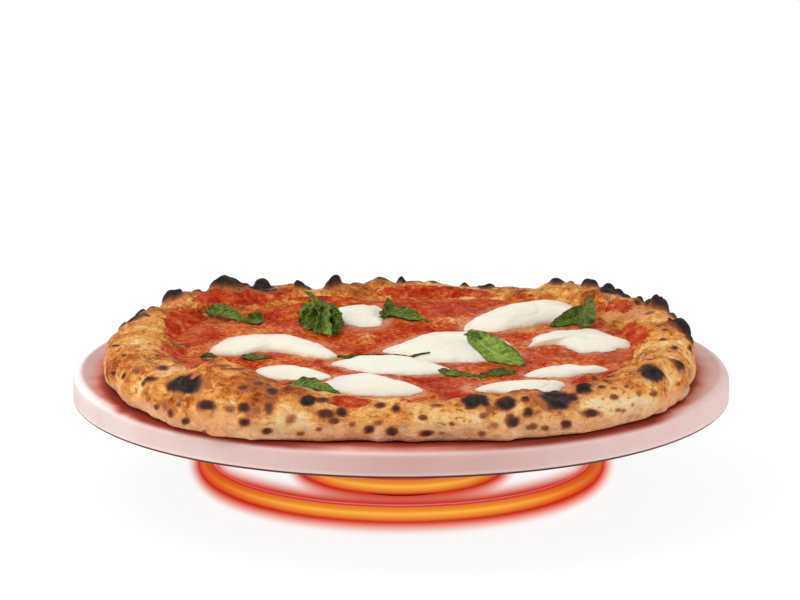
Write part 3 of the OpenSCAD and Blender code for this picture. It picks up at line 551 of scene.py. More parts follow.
def make_crust(material):
    grid, s = crust_grid()
    faces = grid_faces(CRUST_STEPS, SECTION_STEPS, True, True)
    normals = grid_normals(grid, True, True)
    middle = grid[:, 40:44].mean((1,)) * np.array([1, 1, 0.5])
    inward = middle[:, None, :] - grid
    if (normals[:, 20] * inward[:, 20]).sum(-1).mean() > 0:
        normals = -normals
        faces = faces[:, ::-1]
    toward = (normals * -np.array(pixel_ray(400, 350)[1])).sum(-1)
    seen = smooth(0.9, 2.4, s) * (1 - smooth(10.6, 11.8, s))
    point = to_frame(grid)
    tree = crust_tree(point, faces)
    rise = np.zeros(grid.shape[:2])
    for u, v, radius, lift in BUBBLES:
        rise = rise + lift * np.exp(-((point - cast(tree, u, v)) ** 2).sum(-1) / (radius * MM) ** 2)
    lumps = 1.9 * fbm(grid, 27, 21) + 1.2 * fbm(grid, 11, 22) + 0.45 * fbm(grid, 4.6, 23, 2)
    # the skin's folds and splits run along the crust
    angle = np.arctan2(grid[..., 1], grid[..., 0])
    reach = np.hypot(grid[..., 0], grid[..., 1])
    bend = 2.6 * fbm(grid, 16, 26, 2)
    along = xyz(48 * np.cos(angle), 48 * np.sin(angle), reach * 0.62 + grid[..., 2] * 0.5 + bend)
    fold = np.abs(noise(along, 5.2, 27))
    top = smooth(4.4, 6.2, s) * (1 - smooth(9.6, 10.6, s))
    crease = (1 - smooth(0.0, 0.13, fold)) * (smooth(-0.05, 0.30, fbm(grid, 19, 28, 2)) * top)
    lumps = lumps + 0.9 * (fold - 0.25) * top - 0.55 * crease
    point = point + MM * seen[:, None] * (normals * (lumps + 0.3 * rise)[..., None]
                                          + np.array([0, 0, 0.7]) * rise[..., None])
    point[..., 2] = np.maximum(point[..., 2], PIZZA_Z)
    spots = find_spots(point, faces) + random_spots(np.random.default_rng(CRUST_SEED), grid)
    char = np.zeros(point.shape[:2])
    columns, rows = project(point)
    shown = np.maximum(smooth(-0.1, 0.15, toward), 0.02)
    for centre, across, half_w, half_h, dark, lift, kind, ellipse in spots:
        d = point - centre
        near = np.where((np.abs(d) < 2.2 * max(half_w, half_h)).all(-1))
        q, n = d[near], normals[near]
        t = q @ across
        rest = q - t[:, None] * across
        depth = (rest * n).sum(-1)
        up = np.sqrt(np.maximum((rest ** 2).sum(-1) - 0.6 * depth ** 2, 0))
        wobble = 1 + 0.34 * noise(point[near], 4.2 * MM, 41) + 0.16 * noise(point[near], 1.9 * MM, 42)
        r = np.sqrt((t / half_w) ** 2 + (up / half_h) ** 2) * wobble
        if kind == "seen":
            at_u, at_v, w, h = ellipse
            r = np.hypot((columns[near] - at_u) / (0.5 * w), (rows[near] - at_v) / (0.5 * h))
            r = np.maximum(r * wobble, np.linalg.norm(q, axis=-1) / half_w) / shown[near]
        if kind == "upright":
            dome = np.where(r < 1.0, (1 - np.minimum(r, 1) ** 2.4) ** 0.62, 0)
            push = n * 0.45 + np.array([0, 0, 0.75])
        else:
            dome = np.where(r < 1.0, (1 - np.minimum(r, 1) ** 2) ** 1.3, 0)
            push = n
        point[near] += push * (dome * lift)[:, None]
        crisp = smooth(0.75, 1.0, dark)
        spread = (1 - smooth(0.26 + 0.34 * crisp, 1.26 - 0.02 * crisp, r)) * dark
        halo = (1 - smooth(0.6, 1.8, r)) * 0.32 * dark
        char[near] = np.maximum(char[near], np.maximum(spread, halo))
    point[..., 2] = np.maximum(point[..., 2], PIZZA_Z)
    height = (point[..., 2] - PIZZA_Z) / MM
    tint = {
        "toast": 0.38 + 0.10 * smooth(2.2, 6.5, s) + 0.20 * fbm(grid, 30, 51, 2) + 0.10 * lumps
        + 0.10 * smooth(6.5, 9, s) + 0.10 * smooth(1.0, 0.1, s),
        # wall: how far down the crust's outer wall a point is; the material paints it paler, partly as painted light
        "wall": (1 - smooth(3.0, 11.0, height + 1.5 * fbm(grid, 14, 52, 2))) * (1 - smooth(5.5, 7, s)),
        "stain": np.clip(smooth(7.4, 9.6, s) * (0.35 + 0.9 * fbm(grid, 22, 61, 3)) + smooth(9.4, 10.4, s) * 0.9, 0, 1),
    }
    u, v = project(point)
    facing = smooth(-0.05, 0.15, toward) * smooth(2.0, 3.0, s)
    for key, places in TINTS.items():
        for at_u, at_v, w, h, amount in places:
            d = ((u - at_u) / (0.5 * w)) ** 2 + ((v - at_v) / (0.5 * h)) ** 2
            tint[key] = tint[key] + amount * np.exp(-0.9 * d * d) * facing
    lane = np.cumsum(np.linalg.norm(np.diff(grid, axis=1, prepend=grid[:, :1]), axis=-1), 1) * MM
    obj = add_object("crust", point.reshape(-1, 3), faces.tolist(), material,
                     {"char": char, "crease": crease, "lane": lane, **tint})
    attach(obj, "pizza")
    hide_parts("pizza_crust")


# Sauce.
SAUCE_TURNS, SAUCE_ROWS = 620, 132
# Pieces of cheese: outline on the sauce's plane from the middle of the stone, in millimetres.
CHEESE = [
    [(-89, -10), (-84, 14), (-70, 21), (-53, 20), (-41, 7), (-30, -16), (-38, -20), (-47, -15), (-62, -7), (-76, -14)],
    [(-68, -37), (-56, -30), (-40, -43), (-30, -55), (-46, -60), (-62, -52)],
    [(-33, 68), (-21, 73), (-10, 71), (-8, 42), (-14, 31), (-27, 38)],
    [(-37, -63), (-26, -46), (-7, -49), (9, -72), (0, -82), (-25, -78)],
    [(-32, -28), (-15, -14), (4, -17), (24, -43), (11, -48), (-14, -44)],
    [(30, 32), (46, 67), (66, 81), (82, 81), (90, 60), (73, 44), (56, 34), (44, 25)],
    [(60, 2), (71, 26), (91, 31), (103, 16), (110, 0), (99, -10), (84, -13), (75, 3)],
    [(-9, -10), (-1, 2), (10, 21), (29, 25), (41, 22), (52, 3), (53, -19), (35, -28), (14, -27)],
    [(57, -50), (72, -31), (85, -30), (96, -38), (86, -45), (72, -53)],
    [(32, -70), (46, -58), (60, -54), (74, -56), (71, -75), (60, -80), (47, -76)],
]


def cheese_shapes():
    """Each piece's outline and height. A mound hides sauce behind it, so its back edge is nearer than it looks."""
    shapes = []
    for points in CHEESE:
        p = np.array(points, float)
        p[:, 1] -= PIZZA_Y / MM
        front, depth = p[:, 1].min(), np.ptp(p[:, 1])
        tall = 2.0 + 0.054 * depth
        p[:, 1] = front + (p[:, 1] - front) * (1.256 - 3.9 * tall / depth)
        shapes.append((p, tall))
    return shapes


def outline_distance(xy, shapes):
    """Distance from each point to the nearest piece of cheese, in millimetres, 0 inside."""
    flat = xy.reshape(-1, 2)
    best = np.full(len(flat), 1e9)
    for p, _ in shapes:
        line = closed_spline(p, 64)
        centre = line.mean(0)
        near = np.where(np.hypot(*(flat - centre).T) < 60)[0]
        q = flat[near]
        d = np.sqrt(((q[:, None, :] - line[None]) ** 2).sum(-1)).min(1)
        ang = np.arctan2(*(q - centre).T[::-1])
        order = np.argsort(np.arctan2(line[:, 1] - centre[1], line[:, 0] - centre[0]))
        line_ang = np.arctan2(line[order, 1] - centre[1], line[order, 0] - centre[0])
        line_rad = np.hypot(line[order, 0] - centre[0], line[order, 1] - centre[1])
        inside = np.hypot(*(q - centre).T) < np.interp(ang, line_ang, line_rad, period=TURN)
        best[near] = np.minimum(best[near], np.where(inside, 0, d))
    return best.reshape(xy.shape[:-1])


def sauce_material():
    g = Graph("sauce")
    milk, rim = g.attribute("milk"), g.attribute("rim")
    shift = g.add("TexNoise", {"Scale": 90.0, "Detail": 3.0}, "Color")
    shift = g.add("VectorMath", {0: shift, 1: (0.02, 0.02, 0.0)}, operation="MULTIPLY")
    warped = g.add("VectorMath", {0: g.place(), 1: shift}, operation="ADD")
    broad = g.noise(22, 4, 0.6, 0.6, at=warped)
    small = g.noise(5, 4, 0.62, 0.3, at=warped)
    level = broad * 1.1 + (small * 0.7 - 0.41) + (g.noise(2.4, 4, 0.65, 0.4) - 0.5)
    red = g.ramp(level, (0.18, 130, 20, 8), (0.38, 174, 40, 14), (0.50, 194, 64, 22), (0.62, 210, 100, 42),
                 (0.76, 228, 146, 80), (0.9, 244, 192, 136))
    cream = milk * g.span(g.noise(6, 4, 0.6, 0.4, at=warped), 0.38, 0.60)
    colour = g.mix(cream, red, g.mix(g.noise(9, 2, at=warped), (212, 120, 74), (242, 194, 158)))
    gold = rim * g.span(g.noise(8, 4, 0.6, 0.3, at=warped), 0.46, 0.68)
    colour = g.mix(gold, colour, g.mix(small, (196, 88, 34), (222, 148, 80)))
    pulp = g.noise(2.4, 4, 0.6) + g.voronoi(3.4, "SMOOTH_F1") * 0.6
    wet = g.span(g.noise(12, 2), 0.35, 0.65, 0.24, 0.46)
    return g.surface(Base_Color=colour, Roughness=wet, Normal=g.bump(pulp, 0.0009, 0.8), Specular_IOR_Level=0.012,
                     Subsurface_Weight=0.12, Subsurface_Radius=(0.004, 0.0012, 0.0006))


def pizza_disc(turns, inset, t):
    """A disc whose edge is inset crust widths in from the pizza's rim: angles, reach, then radii, x and y at t."""
    a = angles(turns)
    rim, width = (round_value(v, np.degrees(a)) for v in (RIM_RADII, CRUST_WIDTHS))
    reach = rim - inset * width
    r = reach[:, None] * t
    return a, reach, r, r * np.cos(a)[:, None], r * np.sin(a)[:, None]


def make_sauce(material, shapes):
    t = (np.arange(1, SAUCE_ROWS + 1) / SAUCE_ROWS) ** 0.8
    a, reach, r, x, y = pizza_disc(SAUCE_TURNS, 0.88, t)
    p = xyz(x, y, 0)
    pulp = 1.1 * fbm(p, 10, 71, 2) + 0.75 * np.abs(noise(p, 4.8, 72)) + 0.28 * noise(p, 2.2, 73)
    swell = 0.8 * noise(p, 34, 74)
    near = outline_distance(p[..., :2], shapes)
    milk = (1 - smooth(0.5, 7.0, near)) * 0.85 + 0.14 * smooth(0.2, 0.6, noise(p, 24, 81))
    edge = smooth(reach[:, None] - 15, reach[:, None] - 5, r)
    z = dough_z(y) + SAUCE_T + (pulp * (1 - 0.6 * (1 - smooth(0, 4, near))) + swell) * (1 - 0.5 * edge)
    z = z - 2.5 * smooth(reach[:, None] - 3.0, reach[:, None], r)
    top = xyz(x, y, z).reshape(-1, 3)
    low = xyz(reach * np.cos(a), reach * np.sin(a), dough_z(reach * np.sin(a)) - 1.6)
    verts = np.concatenate([top, low, [[0, 0, top[::SAUCE_ROWS, 2].mean()], [0, 0, DOUGH_T - 1.6]]])
    pad = np.zeros(SAUCE_TURNS + 2)
    obj = add_object("sauce", to_frame(verts), turned(mound_faces(SAUCE_TURNS, SAUCE_ROWS)), material,
                     {"milk": np.concatenate([milk.ravel(), pad]), "rim": np.concatenate([edge.ravel(), pad])})
    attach(obj, "pizza")
    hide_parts("tomato_sauce")
    return obj


# Cheese.
def cheese_material():
    g = Graph("cheese")
    body = g.mix(g.noise(16, 3), (252, 240, 214), (255, 250, 234))
    edge = g.span(g.attribute("edge"), 0.86, 1.0, 0.0, 0.6) * g.span(g.noise(5, 3), 0.35, 0.65)
    tinted = g.mix(edge, body, (238, 190, 158))
    oil = g.span(g.noise(7, 4, 0.6, 0.8), 0.66, 0.74) * 0.4
    colour = g.mix(oil, tinted, (240, 206, 160))
    skin = g.noise(4, 3) + g.noise(1.2, 2) * 0.2
    return g.surface(Base_Color=colour, Roughness=0.36, Normal=g.bump(skin, 0.0005, 0.5), Specular_IOR_Level=0.3,
                     Subsurface_Weight=0.35, Subsurface_Radius=(0.006, 0.004, 0.0028))


def make_cheese(material, shapes):
    turns, rows = 132, 40
    t = (np.arange(1, rows + 1) / rows) ** 0.75
    made = []
    for n, (p, tall) in enumerate(shapes):
        line = closed_spline(p, turns)
        centre = line.mean(0)
        wave = xyz(line[:, 0], line[:, 1], n * 50)
        line = line + (line - centre) * (0.07 * fbm(wave, 7, 91, 2))[:, None]
        x, y = (centre + (line - centre)[:, None, :] * t[None, :, None]).transpose(2, 0, 1)
        q = xyz(x, y, n * 50)
        z = dough_z(y) + SAUCE_T - 0.5 + tall * ((1 - t ** 3.2) ** 0.62 * (0.8 + 0.2 * (1 - t * t)))
        z = z + (0.7 * fbm(q, 15, 92, 2) + 0.25 * noise(q, 5, 93)) * (1 - t ** 4)
        # a shallow fold where the melting cheese has sagged
        fold = np.abs(noise(q * np.array([0.5, 1, 1]), 13, 94))
        z = z - 0.55 * (1 - smooth(0.0, 0.14, fold)) * (1 - t ** 3)
        top = xyz(x, y, z).reshape(-1, 3)
        low = xyz(line[:, 0], line[:, 1], dough_z(line[:, 1]) + SAUCE_T - 1.5)
        under = dough_z(centre[1]) + SAUCE_T - 1.5
        verts = np.concatenate([top, low, [[*centre, top[::rows, 2].mean()], [*centre, under]]])
        faces = mound_faces(turns, rows)
        if ((p[:, 0] * np.roll(p[:, 1], -1)) - (np.roll(p[:, 0], -1) * p[:, 1])).sum() > 0:
            faces = turned(faces)
        edge = np.concatenate([np.tile(t, turns), np.ones(turns), [0, 0]])
        obj = add_object(f"cheese_{n + 1}", to_frame(verts), faces, material, {"edge": edge})
        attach(obj, "pizza")
        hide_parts("mozzarella")
        made.append(obj)
    return made


# Leaves: stem and tip in the photograph's pixels with their heights over the sauce in mm, width in mm,
# roll in degrees towards the camera, fold, ruffle, curl and how light the green is.
LEAVES = [
    ("a1", (206, 309), 2.4, (246, 322), 1.0, 7, 45, 0.8, 1.0, 0.6, 0.62),
    ("a2", (264, 316), 2.0, (240, 322), 1.0, 6.5, 50, 0.8, 1.4, 0.8, 0.70),
    ("b1", (318, 312), 6.0, (296, 313), 3.0, 11, 60, 0.5, 2.0, 1.0, 0.99),
    ("b2", (318, 311), 6.5, (299, 322), 2.0, 10, 62, 0.5, 2.0, 1.0, 0.74),
    ("b3", (319, 311), 7.0, (308, 328), 1.8, 11, 65, 0.5, 3.0, 1.2, 1.06),
    ("b4", (320, 310), 7.5, (318, 332), 1.4, 11, 65, 0.5, 3.0, 1.2, 0.80),
    ("b5", (322, 310), 7.5, (328, 334), 1.2, 12, 62, 0.5, 3.0, 1.2, 1.02),
    ("b6", (323, 310), 7.0, (338, 332), 1.4, 12, 60, 0.5, 3.0, 1.0, 0.76),
    ("b7", (322, 311), 6.5, (343, 325), 2.0, 10, 60, 0.5, 2.0, 1.0, 0.98),
    ("b8", (323, 311), 6.5, (342, 315), 3.4, 9, 55, 0.6, 1.8, 0.8, 0.72),
    ("b9", (319, 314), 6.0, (325, 300), 11.0, 9, 60, 0.6, 1.8, 0.6, 0.74),
    ("b10", (318, 314), 6.0, (308, 303), 8.5, 9, 60, 0.6, 1.8, 0.6, 0.66),
    ("b11", (304, 291), 14.0, (320, 303), 10.5, 1.8, 40, 0.5, 0.5, 0.4, 0.70),
    ("c1", (391, 299), 8.0, (382, 317), 2.0, 8, 58, 0.5, 1.8, 0.8, 0.66),
    ("c2", (379, 311), 3.2, (430, 323), 0.9, 7.0, 46, 0.7, 2.8, 0.8, 0.72),
    ("d1", (590, 309), 6.0, (550, 325), 1.2, 9, 45, 0.6, 1.2, 0.8, 0.42),
    ("d2", (580, 325), 3.5, (593, 296), 12.5, 12, 72, 0.6, 1.2, 1.2, 0.66),
    ("e", (467, 331), 8.0, (523, 364), 1.6, 14.0, 54, 0.35, 0.7, 0.7, 1.1),
    ("e2", (464, 333), 8.5, (490, 340), 6.5, 3.4, 30, 0.5, 0.6, 0.8, 0.42),
    ("f1", (438, 369), 2.2, (486, 378), 1.2, 4.2, 50, 0.7, 1.6, 1.0, 0.66),
    ("f2", (517, 371), 1.4, (474, 378), 1.0, 3.4, 50, 0.7, 1.4, 0.9, 0.56),
    ("g", (337, 355), 1.4, (430, 355), 1.6, 3.2, 40, 0.5, 1.2, 0.9, 0.2),
    ("h1", (200, 356), 0.9, (217, 357), 0.9, 4, 20, 0.4, 0.8, 0.5, 0.08),
    ("h2", (240, 356), 0.9, (272, 358), 0.9, 4.5, 20, 0.5, 0.8, 0.5, 0.46),
    ("i", (287, 384), 1.2, (339, 392), 1.0, 6.2, 38, 0.7, 2.2, 0.8, 0.8),
]


def sauce_plane_point(u, v, lift):
    """Where a pixel's ray meets the sauce's tilted plane, raised by lift mm."""
    origin, direction = pixel_ray(u, v)
    at = Vector((PIZZA_X, PIZZA_Y, PIZZA_Z + (DOUGH_T + SAUCE_T + lift) * MM))
    normal = Vector((0, -DOUGH_RISE, 1)).normalized()
    return np.array(origin + direction * ((at - origin).dot(normal) / direction.dot(normal)))


def leaf_material(light):
    def green(a, b):
        return tuple(x + (y - x) * light for x, y in zip(a, b))
    g = Graph(f"leaf_{round(light * 100)}")
    side = g.math("ABSOLUTE", g.attribute("across"))
    veins = g.math("FRACT", g.attribute("along") * 9.0 + side * -2.2)
    veins = g.span(g.math("ABSOLUTE", veins - 0.5), 0.0, 0.14, 1.0, 0.0)
    vein = g.math("MAXIMUM", g.span(side, 0.02, 0.09, 1.0, 0.0), veins * 0.6)
    body = g.mix(g.span(g.noise(3, 4, 0.65, 0.6), 0.34, 0.66), green((34, 46, 14), (80, 112, 34)),
                 green((90, 110, 44), (150, 174, 74)))
    colour = g.mix(vein * 0.7, body, green((116, 138, 70), (184, 200, 108)))
    scorched = g.span(g.noise(4, 3) * 0.6 + side * 0.5, 0.70, 0.88)
    colour = g.mix(scorched * 0.8, colour, green((20, 22, 12), (52, 58, 18)))
    puffed = g.noise(2.2, 3) * 0.5 - vein
    return g.surface(Base_Color=colour, Roughness=0.45, Normal=g.bump(puffed, 0.0006, 0.8), Specular_IOR_Level=0.16,
                     Subsurface_Weight=0.1, Subsurface_Radius=(0.0008, 0.002, 0.0004))


def make_leaves(ground):
    depsgraph = bpy.context.evaluated_depsgraph_get()
    trees = [BVHTree.FromObject(o, depsgraph) for o in ground]
    rows, cols, thick = 54, 21, 0.32 * MM
    count = rows * cols
    u = np.linspace(0, 1, rows)[:, None]
    v = np.linspace(-1, 1, cols)[None, :]
    quads = grid_faces(rows, cols, False, False)
    ring = (list(range(cols)) + [i * cols + cols - 1 for i in range(1, rows)]
            + [(rows - 1) * cols + j for j in range(cols - 2, -1, -1)] + [i * cols for i in range(rows - 2, 0, -1)])
    for n, (name, stem_px, stem_up, tip_px, tip_up, wide, roll, fold, ruffle, curl, light) in enumerate(LEAVES):
        stem, tip = sauce_plane_point(*stem_px, stem_up), sauce_plane_point(*tip_px, tip_up)
        axis = tip - stem
        length = np.linalg.norm(axis)
        axis = axis / length
        flat = np.cross(axis, [0, 0, 1])
        flat = flat / np.linalg.norm(flat)
        if flat[1] > 0:
            flat = -flat
        up = np.cross(axis, flat) * (1 if np.cross(axis, flat)[2] > 0 else -1)
        # flat points to the camera's side of the leaf, and rolls down on that side
        cr, sr = math.cos(math.radians(roll)), math.sin(math.radians(roll))
        side, face = flat * cr - up * sr, up * cr + flat * sr
        belly, blunt = (1.15, 0.55) if name == "e" else (0.78, 0.72)
        half = wide / 2 * MM * (np.sin(np.pi * u ** belly) ** blunt * (1 - 0.12 * u) + 0.02)
        half = half * (1 + 0.06 * noise(xyz(u * 6, 0, n), 1.0, 101))
        lift = fold * np.abs(v) ** 1.3 * half * 0.9
        lift = lift + ruffle * MM * 0.55 * noise(xyz(u * 5.5, v * 1.3, n * 9.0), 1.0, 102) * np.abs(v) ** 0.8
        lift = lift + ruffle * MM * 0.28 * np.sin(u * 26 + 1.7 * n + 2.0 * v) * v * v
        lift = lift - curl * MM * 2.2 * (u - 0.45) ** 2 * 2
        lift = lift + 0.22 * MM * np.cos((u * 9 - np.abs(v) * 2.2) * 2 * np.pi) * (1 - v * v) ** 0.3
        bend = 0.05 * length * np.sin(np.pi * u) * (1 if n % 2 else -1)
        p = stem + axis * (u * length)[..., None] + side * (v * half + bend)[..., None] + face * lift[..., None]
        for i in range(rows):
            for j in range(cols):
                x, y, z = p[i, j]
                hits = [t.ray_cast(Vector((x, y, PIZZA_Z + 0.05)), Vector((0, 0, -1)))[0] for t in trees]
                floor = max((h.z for h in hits if h is not None), default=-1)
                p[i, j, 2] = max(z, floor + 0.25 * MM + thick)
        normals = grid_normals(p, False, False)
        if normals[..., 2].mean() < 0:
            normals = -normals
        faces = quads.tolist() + (quads[:, ::-1] + count).tolist()
        faces += [[a, b, b + count, a + count] for a, b in zip(ring, ring[1:] + ring[:1])]
        if np.cross(p[1:, 1:] - p[:-1, :-1], p[:-1, 1:] - p[1:, :-1])[..., 2].mean() < 0:
            faces = turned(faces)
        across, along = (np.tile(k.ravel(), 2) for k in np.broadcast_arrays(v, u))
        obj = add_object(f"leaf_{name}", np.concatenate([p, p - normals * thick]).reshape(-1, 3), faces,
                         leaf_material(light), {"along": along, "across": across})
        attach(obj, "pizza")
        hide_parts("basil_leaves")


# The underside of the pizza.
def make_base(material):
    turns, rows = 360, 46
    t = np.arange(1, rows + 1) / rows
    *_, x, y = pizza_disc(turns, 1.2, t)
    p = xyz(x, y, 0)
    under = 0.12 + 0.35 * smooth(0.0, 0.6, fbm(p, 18, 111, 2)) * (1 - smooth(0.97, 1.0, t))
    low = xyz(x, y, under).reshape(-1, 3)
    high = xyz(x, y, dough_z(y) - 0.4).reshape(-1, 3)
    count = len(low)
    verts = np.concatenate([low, high, [[0, 0, 0.3], [0, 0, DOUGH_T - 0.4]]])
    quads = grid_faces(turns, rows, True, False)
    faces = quads.tolist() + (quads[:, ::-1] + count).tolist()
    for i in range(turns):
        j = (i + 1) % turns
        edge_i, edge_j = i * rows + rows - 1, j * rows + rows - 1
        faces.append([j * rows, i * rows, 2 * count])
        faces.append([i * rows + count, j * rows + count, 2 * count + 1])
        faces.append([edge_i, edge_j, edge_j + count, edge_i + count])
    char = smooth(0.25, 0.75, noise(p, 11, 112) + 0.3 * noise(p, 4, 113)) * 0.8
    toast = 0.3 + 0.2 * noise(p, 26, 114)
    none, pad = np.zeros(len(verts)), np.zeros(count + 2)
    obj = add_object("pizza_underside", to_frame(verts), faces, material,
                     {"char": np.concatenate([char.ravel(), pad]), "toast": np.concatenate([toast.ravel(), pad]),
                      "stain": none, "crease": none, "lane": none, "wall": none + 0.4})
    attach(obj, "pizza")
    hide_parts("pizza_base")


# Baking stone: pinkish cordierite, fine grained, paler on its ground wall. Painted light makes the wall lighter
# towards its left and right ends; a painted highlight runs along the top's rounded edge and a fainter one just above
# the bottom, and a painted dark line of shade runs along the bottom edge.
STONE_WIDE, STONE_FLAT_R = 0.31, 0.1495
RAMP_R = 200  # the radius in mm that white stands for in the ramp of the pizza's outline


def stone_material():
    g = Graph("stone")
    x, y, z = g.coords()
    radius = g.length(x, y)
    grain = g.noise(0.9, 4, 0.7)
    cloud = g.span(g.noise(26, 3), 0.35, 0.65)
    top = g.mix(g.span(radius, 0.115, 0.150), (200, 156, 148), (216, 176, 169))
    top = g.mix(cloud * 0.35, top, (198, 152, 143))
    # painted light: the wall is lighter towards its left and right ends and darker at the middle of its front
    wall = g.ramp(x * (1 / STONE_WIDE) + 0.5, (0.0, 230, 212, 208), (0.2, 230, 209, 204), (0.5, 223, 180, 172),
                  (0.85, 243, 214, 209), (1.0, 238, 208, 203))
    wall = g.mix(cloud * 0.25, wall, (214, 170, 162))
    # painted highlight: a pale line just above the bottom edge
    wall = g.mix(g.span(z, STONE_LO.z + 1.4 * MM, STONE_LO.z + 3.2 * MM, 0.4, 0.0), wall, (255, 232, 226))
    side = (g.span(z, STONE_TOP - 3.2 * MM, STONE_TOP - 0.6 * MM, 1.0, 0.0)
            * g.math("GREATER_THAN", radius, STONE_FLAT_R))
    colour = g.mix(side, top, wall)
    # painted highlight along the top's rounded edge, fainter to the right
    shoulder_highlight = (g.span(radius, STONE_FLAT_R, STONE_FLAT_R + 3 * MM)
                * g.span(z, STONE_TOP - 3.4 * MM, STONE_TOP - 1.6 * MM) * g.span(x, 0.04, 0.13, 1.0, 0.3))
    colour = g.mix(shoulder_highlight, colour, (255, 242, 240))
    # toasted flour and tomato stained on the stone where the pizza lies, and a painted dark red contact shadow close
    # under the crust's edge, both wider at the front; the ramp holds the pizza's outline
    dy = y - PIZZA_Y
    from_pizza = g.length(x, dy)
    turn = g.math("FRACT", g.math("ARCTAN2", dy, x) * (1 / TURN) + 1.0)
    outline = RIM_RADII + RIM_RADII[:1]
    rim = g.ramp(turn, *((i / len(RIM_RADII), *[r / RAMP_R] * 3, 1.0) for i, r in enumerate(outline)))
    past = rim * (-RAMP_R * MM) + from_pizza
    ahead = g.span(dy * -1.0 / from_pizza, 0.45, 0.97, 0.72, 2.0)
    stain = ((g.noise(16, 2) - 0.5) * 0.007 + past) / ahead
    flat = (1.0 - side) * g.span(past, -24 * MM, -8 * MM, 0.1, 1.0)
    colour = g.mix(g.span(stain, 0.000, 0.012, 1.0, 0.0) * flat * 0.9, colour, (212, 92, 36))
    # painted contact shadow: dark red close under the crust's edge
    colour = g.mix(g.span(stain, -0.001, 0.0058, 1.0, 0.0) * flat * 0.94, colour, (124, 24, 7))
    # painted shade: a dark line along the bottom edge
    colour = g.mix(g.span(z, STONE_LO.z + 0.9 * MM, STONE_LO.z + 1.35 * MM, 1.0, 0.0), colour, (92, 40, 32))
    colour = g.mix(g.span(grain, 0.3, 0.7) * 0.08, colour, (186, 138, 130))
    return g.surface(Base_Color=colour, Roughness=0.62, Normal=g.bump(grain, 0.00012, 0.5), Specular_IOR_Level=0.12)


def ring_radius(node):
    low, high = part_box(node)
    return (high.x - low.x) / 2 - TUBE_R


def glow_material(name, ring_r):
    """A sheath glowing red-hot, orange round its middle, with painted light and shade in its glow: a bright streak
    where the tube faces the camera, dark red shade where it turns away above and below, and a pink highlight line
    along its upper edge.
    """
    g = Graph(name)
    x, y, z = g.coords()
    radius = g.length(x, y)
    facing = g.math("ABSOLUTE", y) / radius
    round_tube = g.math("ARCTAN2", z - RING_Z, radius - ring_r)
    # the angle round the tube of its upper edge as the camera sees it, from how far the ring faces the camera; the
    # glow's painted light and shade are laid out from it
    seen_upper_edge = math.pi - g.math("ARCTANGENT", facing * 4.136)
    level = g.math("COSINE", round_tube - seen_upper_edge) * 0.5 + 0.5
    mottle = (g.noise(14, 3) - 0.5) * 0.04 + level
    # painted light and shade on the glow: dark red at the tube's lower edge, a bright streak where it faces the
    # camera, dark red below its upper edge and a painted pink highlight line on that edge
    glow_with_painted_light = g.ramp(mottle, (0.0, 196, 90, 62), (0.061, 210, 116, 66), (0.147, 228, 162, 78), (0.325, 238, 208, 84),
                  (0.482, 252, 240, 112), (0.587, 236, 204, 62), (0.70, 228, 184, 54), (0.818, 228, 166, 84),
                  (0.879, 200, 96, 60), (0.92, 206, 100, 80), (0.943, 250, 180, 190), (0.986, 236, 150, 150))
    # painted shade: where the ring is seen along its length, at its left and right ends, the glow is dulled to
    # orange-red, less at its top
    glow_with_painted_light = g.mix(g.span(facing, 0.2, 0.95, 0.75, 0.0) * g.span(level, 0.86, 0.92, 1.0, 0.2), glow_with_painted_light, (206, 104, 50))
    return g.surface(Base_Color=(60, 30, 22), Roughness=0.5, Emission_Color=glow_with_painted_light, Emission_Strength=1.12)


METALS = {
    # slot: colour, darker colour, roughness, size of the pattern in mm, bump in mm
    "galvanised_steel": ((186, 190, 192), (156, 162, 168), 0.36, 7.0, 0.010),
    "screw_steel": ((196, 197, 198), (168, 170, 174), 0.28, 1.2, 0.006),
    "column_steel": ((176, 178, 180), (146, 148, 152), 0.34, 2.0, 0.010),
    "dark_steel": ((112, 108, 106), (78, 74, 74), 0.46, 5.0, 0.012),
    "stainless_steel": ((200, 198, 194), (176, 174, 170), 0.24, 3.0, 0.008),
    "brass": ((206, 170, 92), (170, 132, 62), 0.30, 1.6, 0.006),
    "sensor_cap": ((188, 184, 178), (150, 140, 132), 0.34, 2.4, 0.010),
}
PLAIN = {
    # slot: colour, darker colour, roughness, size of the pattern in mm, bump in mm, how speckled it is
    "rubber": ((34, 34, 36), (24, 24, 26), 0.72, 6.0, 0.05, 0.0),
    "silicone": ((222, 220, 214), (210, 208, 201), 0.6, 6.0, 0.05, 0.0),
    "white_enamel": ((238, 236, 232), (230, 228, 223), 0.28, 9.0, 0.02, 0.1),
    "ceramic": ((240, 234, 220), (228, 220, 204), 0.38, 8.0, 0.02, 0.35),
    "magnesium_oxide": ((232, 226, 216), (206, 198, 186), 0.95, 2.0, 0.12, 0.0),
}
THREADS = 5200.0  # phase of the sleeve's weave for each metre


def metal_material(name, light, dark, rough, size, depth):
    g = Graph(name)
    spangle = g.add("SeparateColor", {"Color": g.voronoi(size, output="Color")})
    tone = spangle * 0.5 + g.noise(size * 3, 4) * 0.6
    colour = g.mix(tone, light, dark)
    shine = g.span(tone, 0.2, 0.9, rough - 0.06, rough + 0.1)
    return g.surface(Base_Color=colour, Metallic=1.0, Roughness=shine,
                     Normal=g.bump(g.noise(0.35, 3, 0.7), depth * MM * 4, 0.4))


def plain_material(name, light, dark, rough, size, depth, speck):
    g = Graph(name)
    colour = g.mix(g.span(g.noise(size, 4, 0.6), 0.3, 0.7), light, dark)
    grain = g.noise(size * 0.12, 3, 0.7)
    if speck:
        colour = g.mix(g.span(grain, 0.62, 0.72) * speck, colour, (96, 84, 72))
    return g.surface(Base_Color=colour, Roughness=rough, Normal=g.bump(grain, depth * MM, 0.5))


